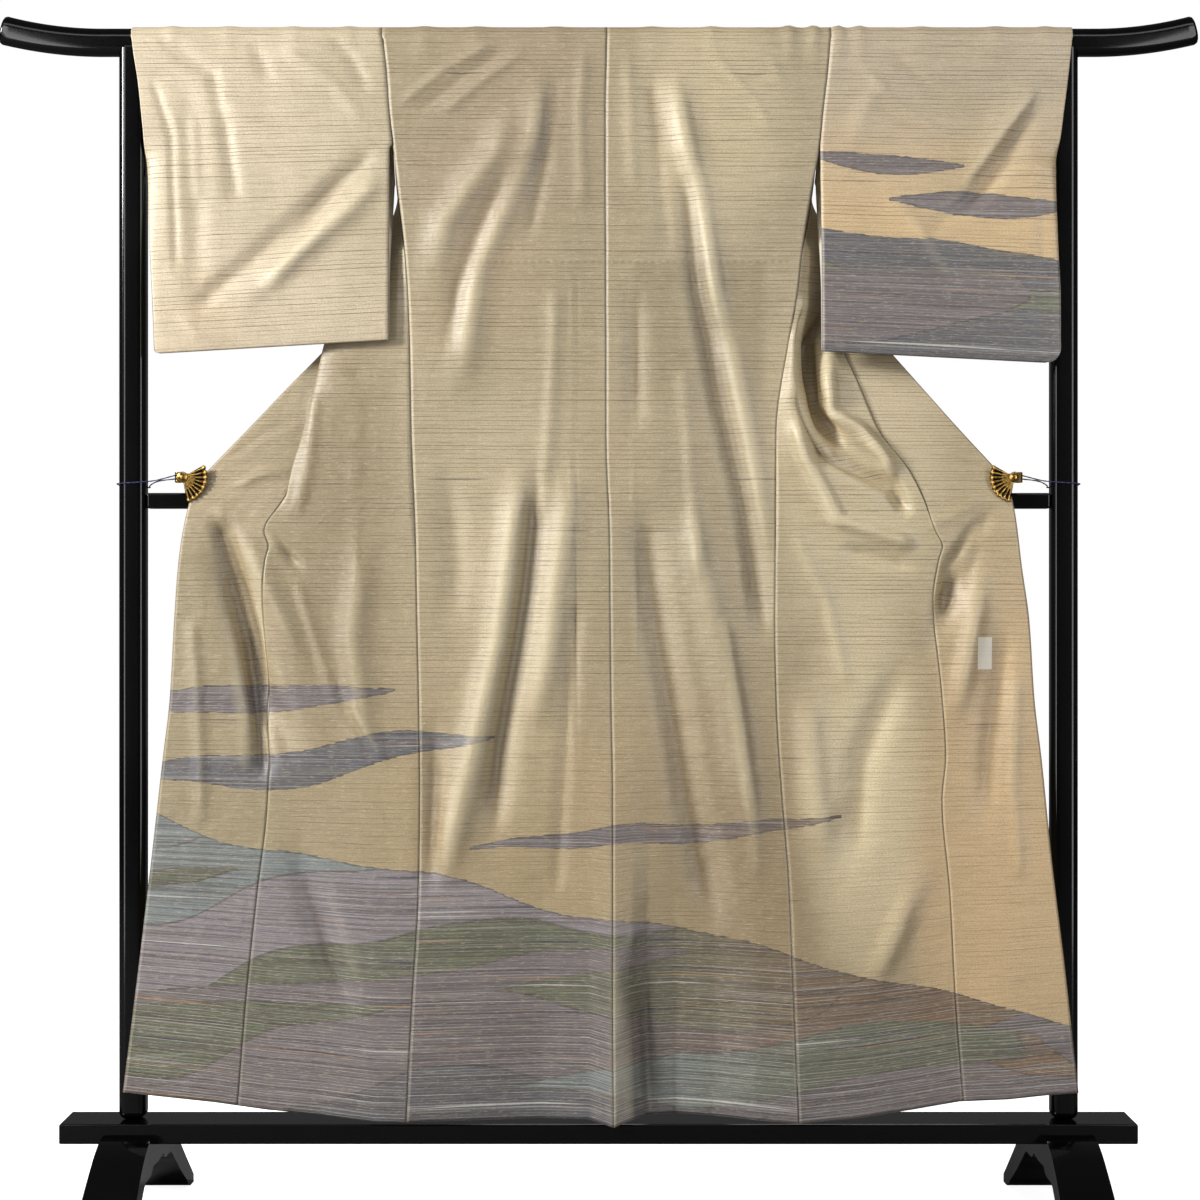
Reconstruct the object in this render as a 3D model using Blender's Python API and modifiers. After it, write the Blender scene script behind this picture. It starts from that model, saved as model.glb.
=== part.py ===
"""A silk kimono that hangs, back outwards, over the bar of a lacquered kimono stand.

Metres, +Z up. The floor is z = 0, X runs along the bar and the back of the kimono faces -Y. The origin is on
the floor, midway between the feet. Each cloth piece is an open grid of points with a Solidify modifier. A
point's place down the cloth is its drop, the distance below HANG_Z, and its place across is x. How far back it
lies is worked out from the hanging plane, the folds and, on the fronts, the sections below.
"""

import math

import bmesh
import bpy
import numpy as np

# --- driving dimensions ---------------------------------------------------------------------------
HANG_Z = 1.687  # height that every drop is measured from
WALL = 0.0015  # body, okumi and sleeves: face cloth and lining together
COLLAR_WALL = 0.003  # the collar band is folded double
OVER_COLLAR_WALL = 0.0012
SEAM_GAP = 0.0009  # between two pieces along a seam
LAYER_GAP = 0.0008  # between two pieces that lie on each other
HEM_DROP = 1.500  # nominal drop of the hem, which the hem table then shifts

BAR_Z = 1.6725
BAR_HALF_HEIGHT = 0.0195
BAR_HALF_DEPTH = 0.016
BAR_HALF_LENGTH = 0.842
BAR_TIP_RISE = 0.018
BAR_BEND_START = 0.700  # where each end of the bar starts to curve up
BAR_SQUARENESS = 2.3  # exponent of the bar's rounded section
CLOTH_OFF_BAR = 0.0014  # from the bar's surface to the middle of the cloth
BAR_SIDES = 16

POST_X = 0.657
POST_HALF_WIDTH = 0.019
POST_HALF_DEPTH = 0.017
POST_TOP_Z = 1.660
BEAM_TOP_Z = 0.153
BEAM_THICKNESS = 0.028
BEAM_HALF_LENGTH = 0.7535
BEAM_HALF_DEPTH = 0.040
MID_BAR_Z = 1.025
MID_BAR_HALF = 0.011
FOOT_HALF_LENGTH = 0.240
FOOT_GAP = 0.0003  # between two timbers of the stand
FOOT_STATIONS = (  # distance from the beam's middle, top, underside and half width
    (0.000, 0.1247, 0.092, 0.0350), (0.036, 0.1247, 0.094, 0.0350), (0.0403, 0.1247, 0.090, 0.0350),
    (0.0404, 0.1370, 0.090, 0.0350), (0.055, 0.1350, 0.084, 0.0350), (0.085, 0.1250, 0.084, 0.0352),
    (0.120, 0.1050, 0.064, 0.0358), (0.155, 0.0800, 0.040, 0.0370), (0.190, 0.0520, 0.018, 0.0385),
    (0.220, 0.0280, 0.000, 0.0400), (0.240, 0.0120, 0.000, 0.0410),
)

CLIP_X = 0.566
CLIP_DROP = 0.634
CLIP_RADIUS = 0.036
CLIP_PIVOT_OUT, CLIP_PIVOT_UP = 0.017, 0.004  # from the cloth's edge to the pivot
CLIP_HUB = 0.006  # radius that the leaf starts at
LEAF_SPAN = 110  # degrees
LEAF_RIBS = 9
LEAF_RIDGE = 0.0006
LEAF_THICKNESS = 0.0016
JAW_REACH, JAW_HALF_WIDTH, JAW_THICKNESS = 0.020, 0.006, 0.0012
CLIP_GAP = 0.0004
CORD_DIAMETER = 0.002
CORD_GAP = 0.0004

FRONT_COLUMNS = (4, 2, 3, 3)  # quads between the five named places across each front
BODY_COLUMNS = sum(FRONT_COLUMNS) + 1
OKUMI_COLUMNS = 6
SLEEVE_COLUMNS = 10
CUFF_END = 0.198  # drop where the cuff opening ends and the sleeve's edge is sewn


class Table:
    """Named columns against drop, read between rows by a monotone cubic."""

    def __init__(self, columns, *rows):
        names = columns.split()
        self.drop = np.array([row[0] for row in rows], float)
        self.columns = {
            name: np.array([row[i] for row in rows], float)
            for i, name in enumerate(names)
            if i > 0
        }

    def at(self, name, drop):
        return monotone_cubic(self.drop, self.columns[name], drop)


def monotone_cubic(xs, ys, x):
    x = np.clip(np.asarray(x, float), xs[0], xs[-1])
    steps = np.diff(xs)
    rises = np.diff(ys) / steps
    slopes = np.zeros(len(xs))
    slopes[0], slopes[-1] = rises[0], rises[-1]
    for i in range(1, len(xs) - 1):
        if rises[i - 1] * rises[i] > 0:
            before = 2 * steps[i] + steps[i - 1]
            after = steps[i] + 2 * steps[i - 1]
            slopes[i] = (before + after) / (before / rises[i - 1] + after / rises[i])
    i = np.clip(np.searchsorted(xs, x, side="right") - 1, 0, len(xs) - 2)
    t = (x - xs[i]) / steps[i]
    return (
        (1 + 2 * t) * (1 - t) ** 2 * ys[i]
        + t * (1 - t) ** 2 * steps[i] * slopes[i]
        + t * t * (3 - 2 * t) * ys[i + 1]
        + t * t * (t - 1) * steps[i] * slopes[i + 1]
    )


def smooth(low, high, value):
    t = np.clip((np.asarray(value, float) - low) / (high - low), 0, 1)
    return t * t * (3 - 2 * t)


# --- tables, metres -------------------------------------------------------------------------------
# How far the hanging cloth stands in front of the bar's middle.
HANG = Table(
    "drop lean",
    (0.0145, 0.0172), (0.030, 0.0187), (0.150, 0.0210), (0.300, 0.0242), (0.600, 0.0278),
    (0.900, 0.0310), (1.200, 0.0335), (1.500, 0.0360),
)
# The back: its centre seam and its side seams. The armhole seam ends where the sleeve leaves the body.
BACK = Table(
    "drop centre left right",
    (0.000, 0.012, -0.305, 0.327), (0.056, 0.011, -0.298, 0.3225), (0.112, 0.010, -0.294, 0.316),
    (0.170, 0.010, -0.288, 0.310), (0.220, 0.010, -0.2825, 0.3005), (0.311, 0.0105, -0.2720, 0.2860),
    (0.379, 0.0105, -0.2670, 0.2780), (0.444, 0.011, -0.2645, 0.2660), (0.568, 0.011, -0.2620, 0.2490),
    (0.720, 0.016, -0.2560, 0.2480), (0.830, 0.017, -0.2540, 0.2470), (0.944, 0.018, -0.2515, 0.2490),
    (1.060, 0.020, -0.2500, 0.2560), (1.187, 0.020, -0.2510, 0.2665), (1.326, 0.020, -0.2590, 0.2720),
    (1.500, 0.021, -0.2680, 0.2790),
)
# The far side of each armhole: the seam's place, and how far behind the hanging plane it lies.
FAR_EDGE = Table(
    "drop left right behind",
    (0.0145, -0.3040, 0.3265, 0.0344), (0.040, -0.3005, 0.3235, 0.0378), (0.100, -0.2955, 0.3175, 0.0420),
    (0.160, -0.2915, 0.3115, 0.0470), (0.220, -0.2870, 0.3050, 0.0480), (0.270, -0.2795, 0.2960, 0.0330),
    (0.311, -0.2720, 0.2860, 0.0000),
)
# The collar seam from the neck to the clip, then the okumi's own edge down to the hem.
EDGE = Table(
    "drop left left_behind right right_behind",
    (0.040, -0.078, 0.038, 0.100, 0.038), (0.100, -0.124, 0.054, 0.146, 0.054),
    (0.160, -0.169, 0.068, 0.191, 0.068), (0.220, -0.215, 0.083, 0.237, 0.083),
    (0.245, -0.234, 0.093, 0.256, 0.093), (0.270, -0.253, 0.104, 0.2755, 0.104),
    (0.310, -0.283, 0.110, 0.306, 0.110), (0.370, -0.329, 0.090, 0.352, 0.092),
    (0.410, -0.359, 0.063, 0.382, 0.070),
    (0.445, -0.386, 0.034, 0.409, 0.034), (0.500, -0.437, 0.023, 0.455, 0.022),
    (0.568, -0.500, 0.014, 0.514, 0.014), (0.615, -0.544, 0.008, 0.556, 0.008),
    (0.634, -0.561, 0.005, 0.572, 0.005), (0.670, -0.575, 0.002, 0.582, 0.002),
    (0.757, -0.589, 0.000, 0.593, 0.000), (0.830, -0.594, 0.000, 0.603, 0.000),
    (0.940, -0.600, 0.000, 0.610, 0.000), (1.026, -0.610, 0.000, 0.620, 0.000),
    (1.176, -0.627, 0.000, 0.635, 0.000), (1.320, -0.644, 0.000, 0.652, 0.000),
    (1.500, -0.666, 0.000, 0.671, 0.000),
)
# The seam between front and okumi, from the okumi's point down.
OKUMI_SEAM = Table(
    "drop left left_behind right right_behind",
    (0.040, -0.078, 0.038, 0.100, 0.038), (0.100, -0.124, 0.054, 0.146, 0.054),
    (0.160, -0.169, 0.068, 0.191, 0.068), (0.220, -0.215, 0.083, 0.237, 0.083),
    (0.245, -0.234, 0.085, 0.256, 0.085), (0.270, -0.253, 0.084, 0.2755, 0.084),
    (0.310, -0.275, 0.074, 0.293, 0.074), (0.370, -0.303, 0.056, 0.313, 0.062),
    (0.410, -0.319, 0.038, 0.330, 0.046),
    (0.445, -0.330, 0.022, 0.343, 0.022), (0.500, -0.350, 0.018, 0.367, 0.012),
    (0.568, -0.378, 0.013, 0.396, 0.007), (0.620, -0.412, 0.009, 0.435, 0.003),
    (0.665, -0.444, 0.003, 0.457, 0.000), (0.706, -0.468, 0.000, 0.472, 0.000),
    (0.727, -0.462, 0.000, 0.482, 0.000), (0.745, -0.466, 0.000, 0.477, 0.000),
    (0.800, -0.470, 0.000, 0.469, 0.000), (0.940, -0.464, 0.000, 0.481, 0.000),
    (1.020, -0.461, 0.000, 0.486, 0.000), (1.080, -0.463, 0.000, 0.481, 0.000),
    (1.210, -0.478, 0.000, 0.492, 0.000), (1.360, -0.494, 0.000, 0.500, 0.000),
    (1.500, -0.505, 0.000, 0.511, 0.000),
)
# Three places across each front, between its side seam and its okumi seam: x, and how far behind the hanging
# plane. On the left they are the near side, the tip and the far side of the pleat that lies flat under the
# sleeve. On the right they are the ridge by the side seam, the deep trough beside it and the lobe after that.
FRONT_LEFT = Table(
    "drop a a_behind b b_behind c c_behind",
    (0.0145, -0.250, 0.0344, -0.200, 0.0344, -0.145, 0.0344),
    (0.040, -0.245, 0.038, -0.195, 0.039, -0.140, 0.038),
    (0.100, -0.260, 0.054, -0.225, 0.063, -0.175, 0.063),
    (0.160, -0.272, 0.066, -0.245, 0.083, -0.205, 0.083),
    (0.220, -0.285, 0.078, -0.272, 0.101, -0.243, 0.103),
    (0.270, -0.300, 0.062, -0.308, 0.093, -0.284, 0.101),
    (0.310, -0.312, 0.036, -0.333, 0.066, -0.318, 0.081),
    (0.370, -0.335, 0.023, -0.362, 0.040, -0.345, 0.058),
    (0.410, -0.352, 0.010, -0.374, 0.022, -0.357, 0.038),
    (0.445, -0.370, 0.002, -0.386, 0.009, -0.368, 0.018),
    (0.500, -0.384, 0.001, -0.398, 0.008, -0.382, 0.015),
    (0.568, -0.400, 0.000, -0.4145, 0.005, -0.400, 0.010),
    (0.620, -0.417, 0.000, -0.430, 0.004, -0.422, 0.007),
    (0.665, -0.425, 0.000, -0.438, 0.001, -0.4415, 0.002),
    (0.706, -0.425, 0.000, -0.445, 0.000, -0.457, 0.000),
)
FRONT_RIGHT = Table(
    "drop a a_behind b b_behind c c_behind",
    (0.0145, 0.270, 0.0344, 0.215, 0.0344, 0.160, 0.0344),
    (0.040, 0.270, 0.038, 0.215, 0.039, 0.160, 0.038),
    (0.100, 0.280, 0.054, 0.245, 0.063, 0.195, 0.063),
    (0.160, 0.292, 0.066, 0.265, 0.083, 0.225, 0.083),
    (0.220, 0.302, 0.078, 0.292, 0.100, 0.264, 0.103),
    (0.270, 0.318, 0.060, 0.328, 0.092, 0.306, 0.101),
    (0.310, 0.318, 0.029, 0.342, 0.064, 0.332, 0.080),
    (0.370, 0.292, 0.007, 0.325, 0.037, 0.337, 0.060),
    (0.410, 0.283, -0.001, 0.312, 0.040, 0.342, 0.040),
    (0.445, 0.2735, -0.005, 0.298, 0.034, 0.328, 0.014),
    (0.480, 0.272, -0.008, 0.295, 0.030, 0.322, 0.004),
    (0.520, 0.278, -0.010, 0.300, 0.024, 0.3195, 0.001),
    (0.557, 0.290, -0.0105, 0.312, 0.017, 0.340, 0.001),
    (0.599, 0.315, -0.009, 0.350, 0.009, 0.400, 0.000),
    (0.640, 0.360, -0.004, 0.400, 0.002, 0.430, 0.000),
    (0.706, 0.400, 0.000, 0.430, 0.000, 0.452, 0.000),
)
# Where the same three places lie on a front with no pleat, as shares from the side seam to the okumi seam.
PLAIN_SHARES = (0.36, 0.62, 0.82)
# The hem, left corner to right corner: its drop, and how far in front of the hanging plane it swings.
HEM = np.array((
    (-0.666, 1.491, -0.006), (-0.613, 1.497, -0.006), (-0.538, 1.505, -0.006), (-0.463, 1.515, -0.004),
    (-0.389, 1.521, 0.000), (-0.313, 1.529, 0.008), (-0.268, 1.5295, 0.010), (-0.156, 1.526, 0.008),
    (-0.081, 1.5245, 0.004), (-0.013, 1.525, 0.011), (0.021, 1.5344, 0.021), (0.045, 1.527, 0.010),
    (0.069, 1.524, -0.011), (0.107, 1.5235, -0.022), (0.163, 1.5255, -0.014), (0.219, 1.5275, 0.004),
    (0.279, 1.531, 0.014), (0.366, 1.524, 0.006), (0.442, 1.515, -0.006), (0.505, 1.504, -0.006),
    (0.573, 1.500, -0.001), (0.629, 1.494, -0.001), (0.671, 1.491, -0.001),
))
HEM_REACH = 0.60  # how far up the cloth the hem's swing fades out

# Main folds of the hanging cloth: half width, height towards the viewer, then the places that the fold runs
# through, x and drop.
FOLDS = (
    (0.022, 0.0101, ((-0.107, 0.085), (-0.145, 0.176), (-0.183, 0.224), (-0.216, 0.273), (-0.238, 0.380))),
    (0.020, 0.0087, ((-0.080, 0.045), (-0.092, 0.150), (-0.138, 0.255), (-0.172, 0.337), (-0.194, 0.525))),
    (0.014, -0.0058, ((-0.100, 0.160), (-0.158, 0.270), (-0.198, 0.370), (-0.215, 0.470))),
    (0.022, 0.0116, ((-0.100, 0.600), (-0.117, 0.690), (-0.138, 0.858), (-0.180, 1.026), (-0.222, 1.200))),
    (0.020, -0.0058, ((-0.215, 0.600), (-0.200, 0.750), (-0.206, 0.860))),
    (0.020, 0.0087, ((-0.040, 0.600), (-0.047, 0.690), (-0.068, 0.858), (-0.092, 1.000))),
    (0.016, -0.0101, ((-0.084, 0.600), (-0.100, 0.780), (-0.135, 1.000), (-0.150, 1.150))),
    (0.014, -0.0087, ((-0.232, 0.950), (-0.232, 1.054), (-0.236, 1.220))),
    (0.016, 0.0116, ((0.098, 0.040), (0.1365, 0.224), (0.155, 0.337), (0.177, 0.449))),
    (0.016, -0.0116, ((0.120, 0.160), (0.142, 0.368), (0.170, 0.522), (0.205, 0.662), (0.234, 0.886))),
    (0.018, 0.0072, ((0.175, 0.400), (0.212, 0.578), (0.232, 0.750))),
    (0.014, -0.0058, ((0.050, 0.330), (0.052, 0.600))),
    (0.022, -0.0130, ((0.060, 0.650), (0.070, 0.746), (0.088, 0.858), (0.128, 1.082), (0.165, 1.264))),
    (0.022, 0.0101, ((0.125, 0.640), (0.142, 0.746), (0.184, 0.942), (0.222, 1.150))),
    (0.018, -0.0072, ((0.045, 1.250), (0.062, 1.400), (0.075, 1.530))),
    (0.021, -0.0150, ((-0.538, 0.700), (-0.524, 0.762), (-0.471, 0.925), (-0.418, 1.040))),
    (0.016, 0.0072, ((-0.505, 0.690), (-0.455, 0.800), (-0.400, 0.920))),
    (0.018, -0.0087, ((-0.432, 1.124), (-0.376, 1.290), (-0.334, 1.376))),
    (0.020, 0.0072, ((-0.330, 0.700), (-0.345, 0.860), (-0.320, 1.040))),
    (0.014, -0.0130, ((0.545, 0.700), (0.516, 0.756), (0.486, 0.815), (0.460, 0.880))),
    (0.022, -0.0087, ((0.440, 0.860), (0.366, 1.026), (0.352, 1.190))),
    (0.016, 0.0101, ((0.541, 0.746), (0.520, 0.860), (0.496, 0.990))),
    (0.016, -0.0072, ((0.575, 0.800), (0.548, 1.010), (0.541, 1.140))),
    (0.018, 0.0072, ((0.464, 1.150), (0.415, 1.260), (0.366, 1.360))),
    (0.020, 0.0087, ((0.290, 0.900), (0.300, 1.050), (0.320, 1.180))),
)
FOLD_TAPER = 0.10  # a fold fades in and out over this length at its ends
CLIP_CALM = 0.06  # cloth this near a clip lies flat in it

# Each sleeve: its outer edge near and far, its inner edge near and far, how far each layer lies in front of
# the bar's middle, and that of the middle of its sewn outer edge.
SLEEVE_LEFT = Table(
    "drop outer outer_far inner inner_far near far edge",
    (0.000, -0.6575, -0.6575, -0.3055, -0.3055, 0.0172, -0.0172, 0.000),
    (0.030, -0.6540, -0.6540, -0.3015, -0.3015, 0.0187, -0.0187, 0.000),
    (0.074, -0.6470, -0.6470, -0.2970, -0.2980, 0.0198, -0.0190, 0.000),
    (0.120, -0.6420, -0.6420, -0.2935, -0.2945, 0.0208, -0.0185, 0.000),
    (0.150, -0.6390, -0.6360, -0.2930, -0.2925, 0.0218, -0.0182, 0.000),
    (0.170, -0.6375, -0.6355, -0.2930, -0.2910, 0.0228, -0.0165, 0.002),
    (0.200, -0.6345, -0.6345, -0.2930, -0.2885, 0.0248, -0.0100, 0.010),
    (0.260, -0.6320, -0.6320, -0.2930, -0.2900, 0.0280, 0.0030, 0.018),
    (0.310, -0.6285, -0.6285, -0.2930, -0.2920, 0.0320, 0.0160, 0.026),
    (0.375, -0.6240, -0.6240, -0.2930, -0.2930, 0.0370, 0.0260, 0.033),
    (0.460, -0.6200, -0.6200, -0.2925, -0.2925, 0.0400, 0.0320, 0.036),
)
SLEEVE_RIGHT = Table(
    "drop outer outer_far inner inner_far near far edge",
    (0.000, 0.6670, 0.6670, 0.3275, 0.3275, 0.0172, -0.0172, 0.000),
    (0.030, 0.6640, 0.6640, 0.3250, 0.3250, 0.0187, -0.0187, 0.000),
    (0.074, 0.6590, 0.6590, 0.3205, 0.3210, 0.0198, -0.0190, 0.000),
    (0.120, 0.6530, 0.6500, 0.3160, 0.3165, 0.0208, -0.0188, 0.000),
    (0.150, 0.6490, 0.6360, 0.3125, 0.3130, 0.0224, -0.0184, 0.000),
    (0.170, 0.6450, 0.6345, 0.3110, 0.3110, 0.0238, -0.0165, 0.004),
    (0.200, 0.6410, 0.6345, 0.3110, 0.3070, 0.0260, -0.0100, 0.0235),
    (0.209, 0.6410, 0.6347, 0.3110, 0.3075, 0.0260, -0.0090, 0.0240),
    (0.225, 0.6412, 0.6412, 0.3112, 0.3080, 0.0270, -0.0060, 0.0250),
    (0.260, 0.6420, 0.6420, 0.3115, 0.3085, 0.0290, 0.0030, 0.027),
    (0.310, 0.6430, 0.6430, 0.3120, 0.3105, 0.0325, 0.0160, 0.031),
    (0.375, 0.6455, 0.6455, 0.3120, 0.3120, 0.0370, 0.0260, 0.034),
    (0.460, 0.6455, 0.6455, 0.3120, 0.3120, 0.0400, 0.0320, 0.036),
)
SLEEVE_EDGE_HALF = 0.0025  # half the thickness of a sleeve at its sewn edges
SLEEVE_CLOSING = 0.045  # the layers come together over this width before a sewn edge
SLEEVE_BOTTOM = {"left": (0.438, 0.457, 0.006), "right": (0.454, 0.470, 0.020)}  # inner drop, outer, corner


# --- where the points of each piece lie -----------------------------------------------------------
NEAR_DROPS = (
    1.500, 1.430, 1.350, 1.270, 1.190, 1.110, 1.030, 0.950, 0.870, 0.790, 0.710, 0.640, 0.570, 0.500,
    0.430, 0.365, 0.311, 0.250, 0.190, 0.130, 0.070, 0.030, 0.0145,
)
BAR_ANGLES = (157.5, 135, 112.5, 90, 67.5, 45, 22.5)
FAR_DROPS = (
    0.0145, 0.026, 0.040, 0.070, 0.115, 0.160, 0.190, 0.220, 0.245, 0.270, 0.290, 0.311, 0.340,
    0.370, 0.395, 0.420, 0.445, 0.480, 0.515, 0.550, 0.585, 0.625, 0.665, 0.706, 0.760, 0.830, 0.910,
    1.000, 1.090, 1.190, 1.300, 1.400, 1.500,
)
NECK_ANGLE = 35  # the back neck seam lies just past the crest
NECK = Table("drop half_width", (0.000, 0.000), (0.0145, 0.044), (0.026, 0.071), (0.040, 0.089))
OKUMI_DROPS = (
    0.255, 0.275, 0.295, 0.320, 0.345, 0.370, 0.395, 0.420, 0.445, 0.475, 0.510, 0.545, 0.580, 0.610,
    0.634, 0.665, 0.706, 0.760, 0.830, 0.910, 1.000, 1.090, 1.180, 1.260, 1.340, 1.420, 1.500,
)
OKUMI_BEHIND = 0.0030  # the okumi's seam edge lies this far behind the front where the front is pleated
SLEEVE_SHARES = (  # of the sleeve's length, bottom to bar
    1.0, 0.985, 0.95, 0.88, 0.79, 0.70, 0.61, 0.54, 0.48, 0.44, 0.40, 0.36, 0.31, 0.24, 0.15, 0.065, 0.0322,
)
ARMHOLE_END, ARMHOLE_END_FAR = 0.165, 0.215  # where the sleeve leaves the body, near side and far side
CUFF_SHARE = 0.43  # layers are sewn together along the outer edge below this share of the sleeve's length
SLEEVE_FOLDS = (
    (0.014, 0.004, ((-0.313, 0.200), (-0.420, 0.315), (-0.520, 0.410))),
    (0.014, -0.004, ((-0.330, 0.170), (-0.400, 0.260), (-0.450, 0.330))),
    (0.016, -0.004, ((-0.580, 0.060), (-0.566, 0.200), (-0.560, 0.400))),
    (0.018, 0.004, ((-0.600, 0.040), (-0.520, 0.110), (-0.430, 0.150))),
    (0.014, 0.004, ((0.420, 0.040), (0.370, 0.120), (0.345, 0.200))),
    (0.016, 0.005, ((0.640, 0.040), (0.570, 0.130), (0.500, 0.220))),
    (0.014, -0.005, ((0.640, 0.080), (0.560, 0.190), (0.480, 0.300))),
    (0.014, 0.004, ((0.380, 0.190), (0.450, 0.290), (0.520, 0.400))),
)
COLLAR_EDGE_DROPS = (
    0.632, 0.600, 0.568, 0.535, 0.500, 0.470, 0.440, 0.410, 0.380, 0.350, 0.320, 0.290, 0.260, 0.230,
    0.200, 0.170, 0.140, 0.110, 0.080, 0.055,
)
NECK_DROPS = (0.032, 0.018, 0.009)
COLLAR_WIDTH = 0.055
COLLAR_TIP_WIDTH = 0.072
# Shares across the band. The over-collar leaves out the first and the last of them.
COLLAR_SHARES = (0.0, 0.06, 0.35, 0.65, 0.94, 1.0)
COLLAR_INSET = 0.0015  # the band starts this far in from its seam line
COLLAR_LOOK = 0.005  # the band clears whatever the okumi does within this distance
COLLAR_OFF_OKUMI = 0.0034
COLLAR_TOP_DROP = 0.004
NECK_BEHIND = 0.0405
OVER_COLLAR_DROP = 0.400  # the over-collar's ends, measured down each front
FRONT_SEAM_DROP = 0.040  # the okumi seam's own table begins here
NECK_STEP = 0.0036  # the neck edge lies this far nearer than the front seam's top
FAR_CALM = (0.26, 0.36)  # the back's folds fade out of the fronts above these drops
PLEAT_OUT = (0.66, 0.76)  # the fronts' own sections turn into the plain front between these drops
OKUMI_STEP_OUT = (0.62, 0.70)
COLLAR_FLARE = (0.20, 0.63)  # the band widens between these drops
COLLAR_ON_OKUMI = (0.24, 0.34)  # the band comes to lie on the okumi between these drops
CUFF_BLEND = 0.045


# --- where the hanging cloth lies -----------------------------------------------------------------
def route_height(folds, x, drop):
    """Height of the listed folds towards the viewer at each point."""
    x, drop = np.broadcast_arrays(np.asarray(x, float), np.asarray(drop, float))
    total = np.zeros(x.shape)
    for half_width, height, route in folds:
        points = np.array(route)
        steps = np.hypot(*np.diff(points, axis=0).T)
        length = steps.sum()
        nearest = np.full(x.shape, np.inf)
        along = np.zeros(x.shape)
        before = 0.0
        for (x0, d0), (x1, d1), step in zip(points[:-1], points[1:], steps):
            share = np.clip(((x - x0) * (x1 - x0) + (drop - d0) * (d1 - d0)) / step**2, 0, 1)
            gap = np.hypot(x - x0 - share * (x1 - x0), drop - d0 - share * (d1 - d0))
            closer = gap < nearest
            nearest = np.where(closer, gap, nearest)
            along = np.where(closer, before + share * step, along)
            before += step
        ends = smooth(0, FOLD_TAPER, along) * smooth(0, FOLD_TAPER, length - along)
        total += height * np.exp(-((nearest / half_width) ** 2)) * ends
    return total


def fold_height(x, drop):
    """Height of the main folds, which fade out near the clips."""
    total = route_height(FOLDS, x, drop)
    for side in (-1, 1):
        from_clip = np.hypot(x - side * CLIP_X, drop - CLIP_DROP)
        total = total * smooth(0.4 * CLIP_CALM, 1.6 * CLIP_CALM, from_clip)
    return total


def true_drop(x, drop):
    """The drop after the hem's own line is taken up over the lowest stretch."""
    hem = np.interp(x, HEM[:, 0], HEM[:, 1])
    return drop + (hem - HEM_DROP) * smooth(HEM_DROP - HEM_REACH, HEM_DROP, drop)


def hanging_y(x, drop, behind=0.0):
    """Y of cloth that lies this far behind the hanging plane. Folds show on it below the armholes."""
    swing = np.interp(x, HEM[:, 0], HEM[:, 2]) * smooth(HEM_DROP - HEM_REACH, HEM_DROP, drop)
    return behind - HANG.at("lean", drop) - swing - fold_height(x, drop)


def front_y(x, drop, behind):
    """As hanging_y, but without the back's folds on the far side of the bar."""
    near_share = smooth(*FAR_CALM, drop)
    return behind - HANG.at("lean", drop) + near_share * (
        hanging_y(x, drop) + HANG.at("lean", drop)
    )


def bar_section(angle, grow):
    """Y and Z on the bar's rounded section, made larger by grow: 180 degrees is near, 90 the crest, 0 far."""
    c, s = math.cos(math.radians(angle)), math.sin(math.radians(angle))
    power = 2 / BAR_SQUARENESS
    return (
        math.copysign(abs(c) ** power, c) * (BAR_HALF_DEPTH + grow),
        math.copysign(abs(s) ** power, s) * (BAR_HALF_HEIGHT + grow),
    )


def over_bar(angle):
    """Y and Z of cloth that lies on the bar."""
    y, up = bar_section(angle, CLOTH_OFF_BAR)
    return y, BAR_Z + up


def curve_through(points, counts):
    """A centripetal Catmull-Rom curve through the points, with this many steps between each pair."""
    points = [np.array(p, float) for p in points]
    ends = [2 * points[0] - points[1], *points, 2 * points[-1] - points[-2]]
    found = [points[0]]
    for i, count in enumerate(counts):
        p0, p1, p2, p3 = ends[i : i + 4]
        t1 = max(np.linalg.norm(p1 - p0), 1e-6) ** 0.5
        t2 = t1 + max(np.linalg.norm(p2 - p1), 1e-6) ** 0.5
        t3 = t2 + max(np.linalg.norm(p3 - p2), 1e-6) ** 0.5
        for k in range(1, count + 1):
            t = t1 + (t2 - t1) * k / count
            a1 = (t1 - t) / t1 * p0 + t / t1 * p1
            a2 = (t2 - t) / (t2 - t1) * p1 + (t - t1) / (t2 - t1) * p2
            a3 = (t3 - t) / (t3 - t2) * p2 + (t - t2) / (t3 - t2) * p3
            b1 = (t2 - t) / t2 * a1 + t / t2 * a2
            b2 = (t3 - t) / (t3 - t1) * a2 + (t - t1) / (t3 - t1) * a3
            found.append((t2 - t) / (t2 - t1) * b1 + (t - t1) / (t2 - t1) * b2)
    return found


# --- pieces of the kimono -------------------------------------------------------------------------
def neck_x(side, drop):
    """Inner edge of the body beyond the crest, down to where the fronts begin."""
    sign = -1 if side == "left" else 1
    centre = BACK.columns["centre"][0]
    return centre + sign * float(NECK.at("half_width", drop))


def body_rows(side):
    """Rows of points from the back hem, up over the bar and down to the front hem."""
    sign = -1 if side == "left" else 1
    rows = []
    for drop in NEAR_DROPS:
        centre = float(BACK.at("centre", drop)) + sign * SEAM_GAP / 2
        outer = float(BACK.at(side, drop)) - sign * SEAM_GAP / 2
        x = np.linspace(centre, outer, BODY_COLUMNS)
        y = hanging_y(x, drop)
        rows.append(np.stack([x, y, HANG_Z - true_drop(x, drop)], axis=1))
    for angle in BAR_ANGLES:
        y, z = over_bar(angle)
        inner = BACK.columns["centre"][0] + sign * SEAM_GAP / 2
        outer = BACK.columns[side][0] - sign * SEAM_GAP / 2
        x = np.linspace(inner, outer, BODY_COLUMNS)
        rows.append(np.stack([x, np.full_like(x, y), np.full_like(x, z)], axis=1))
    for drop in FAR_DROPS:
        rows.append(front_section(side, drop))
    return rows


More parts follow.
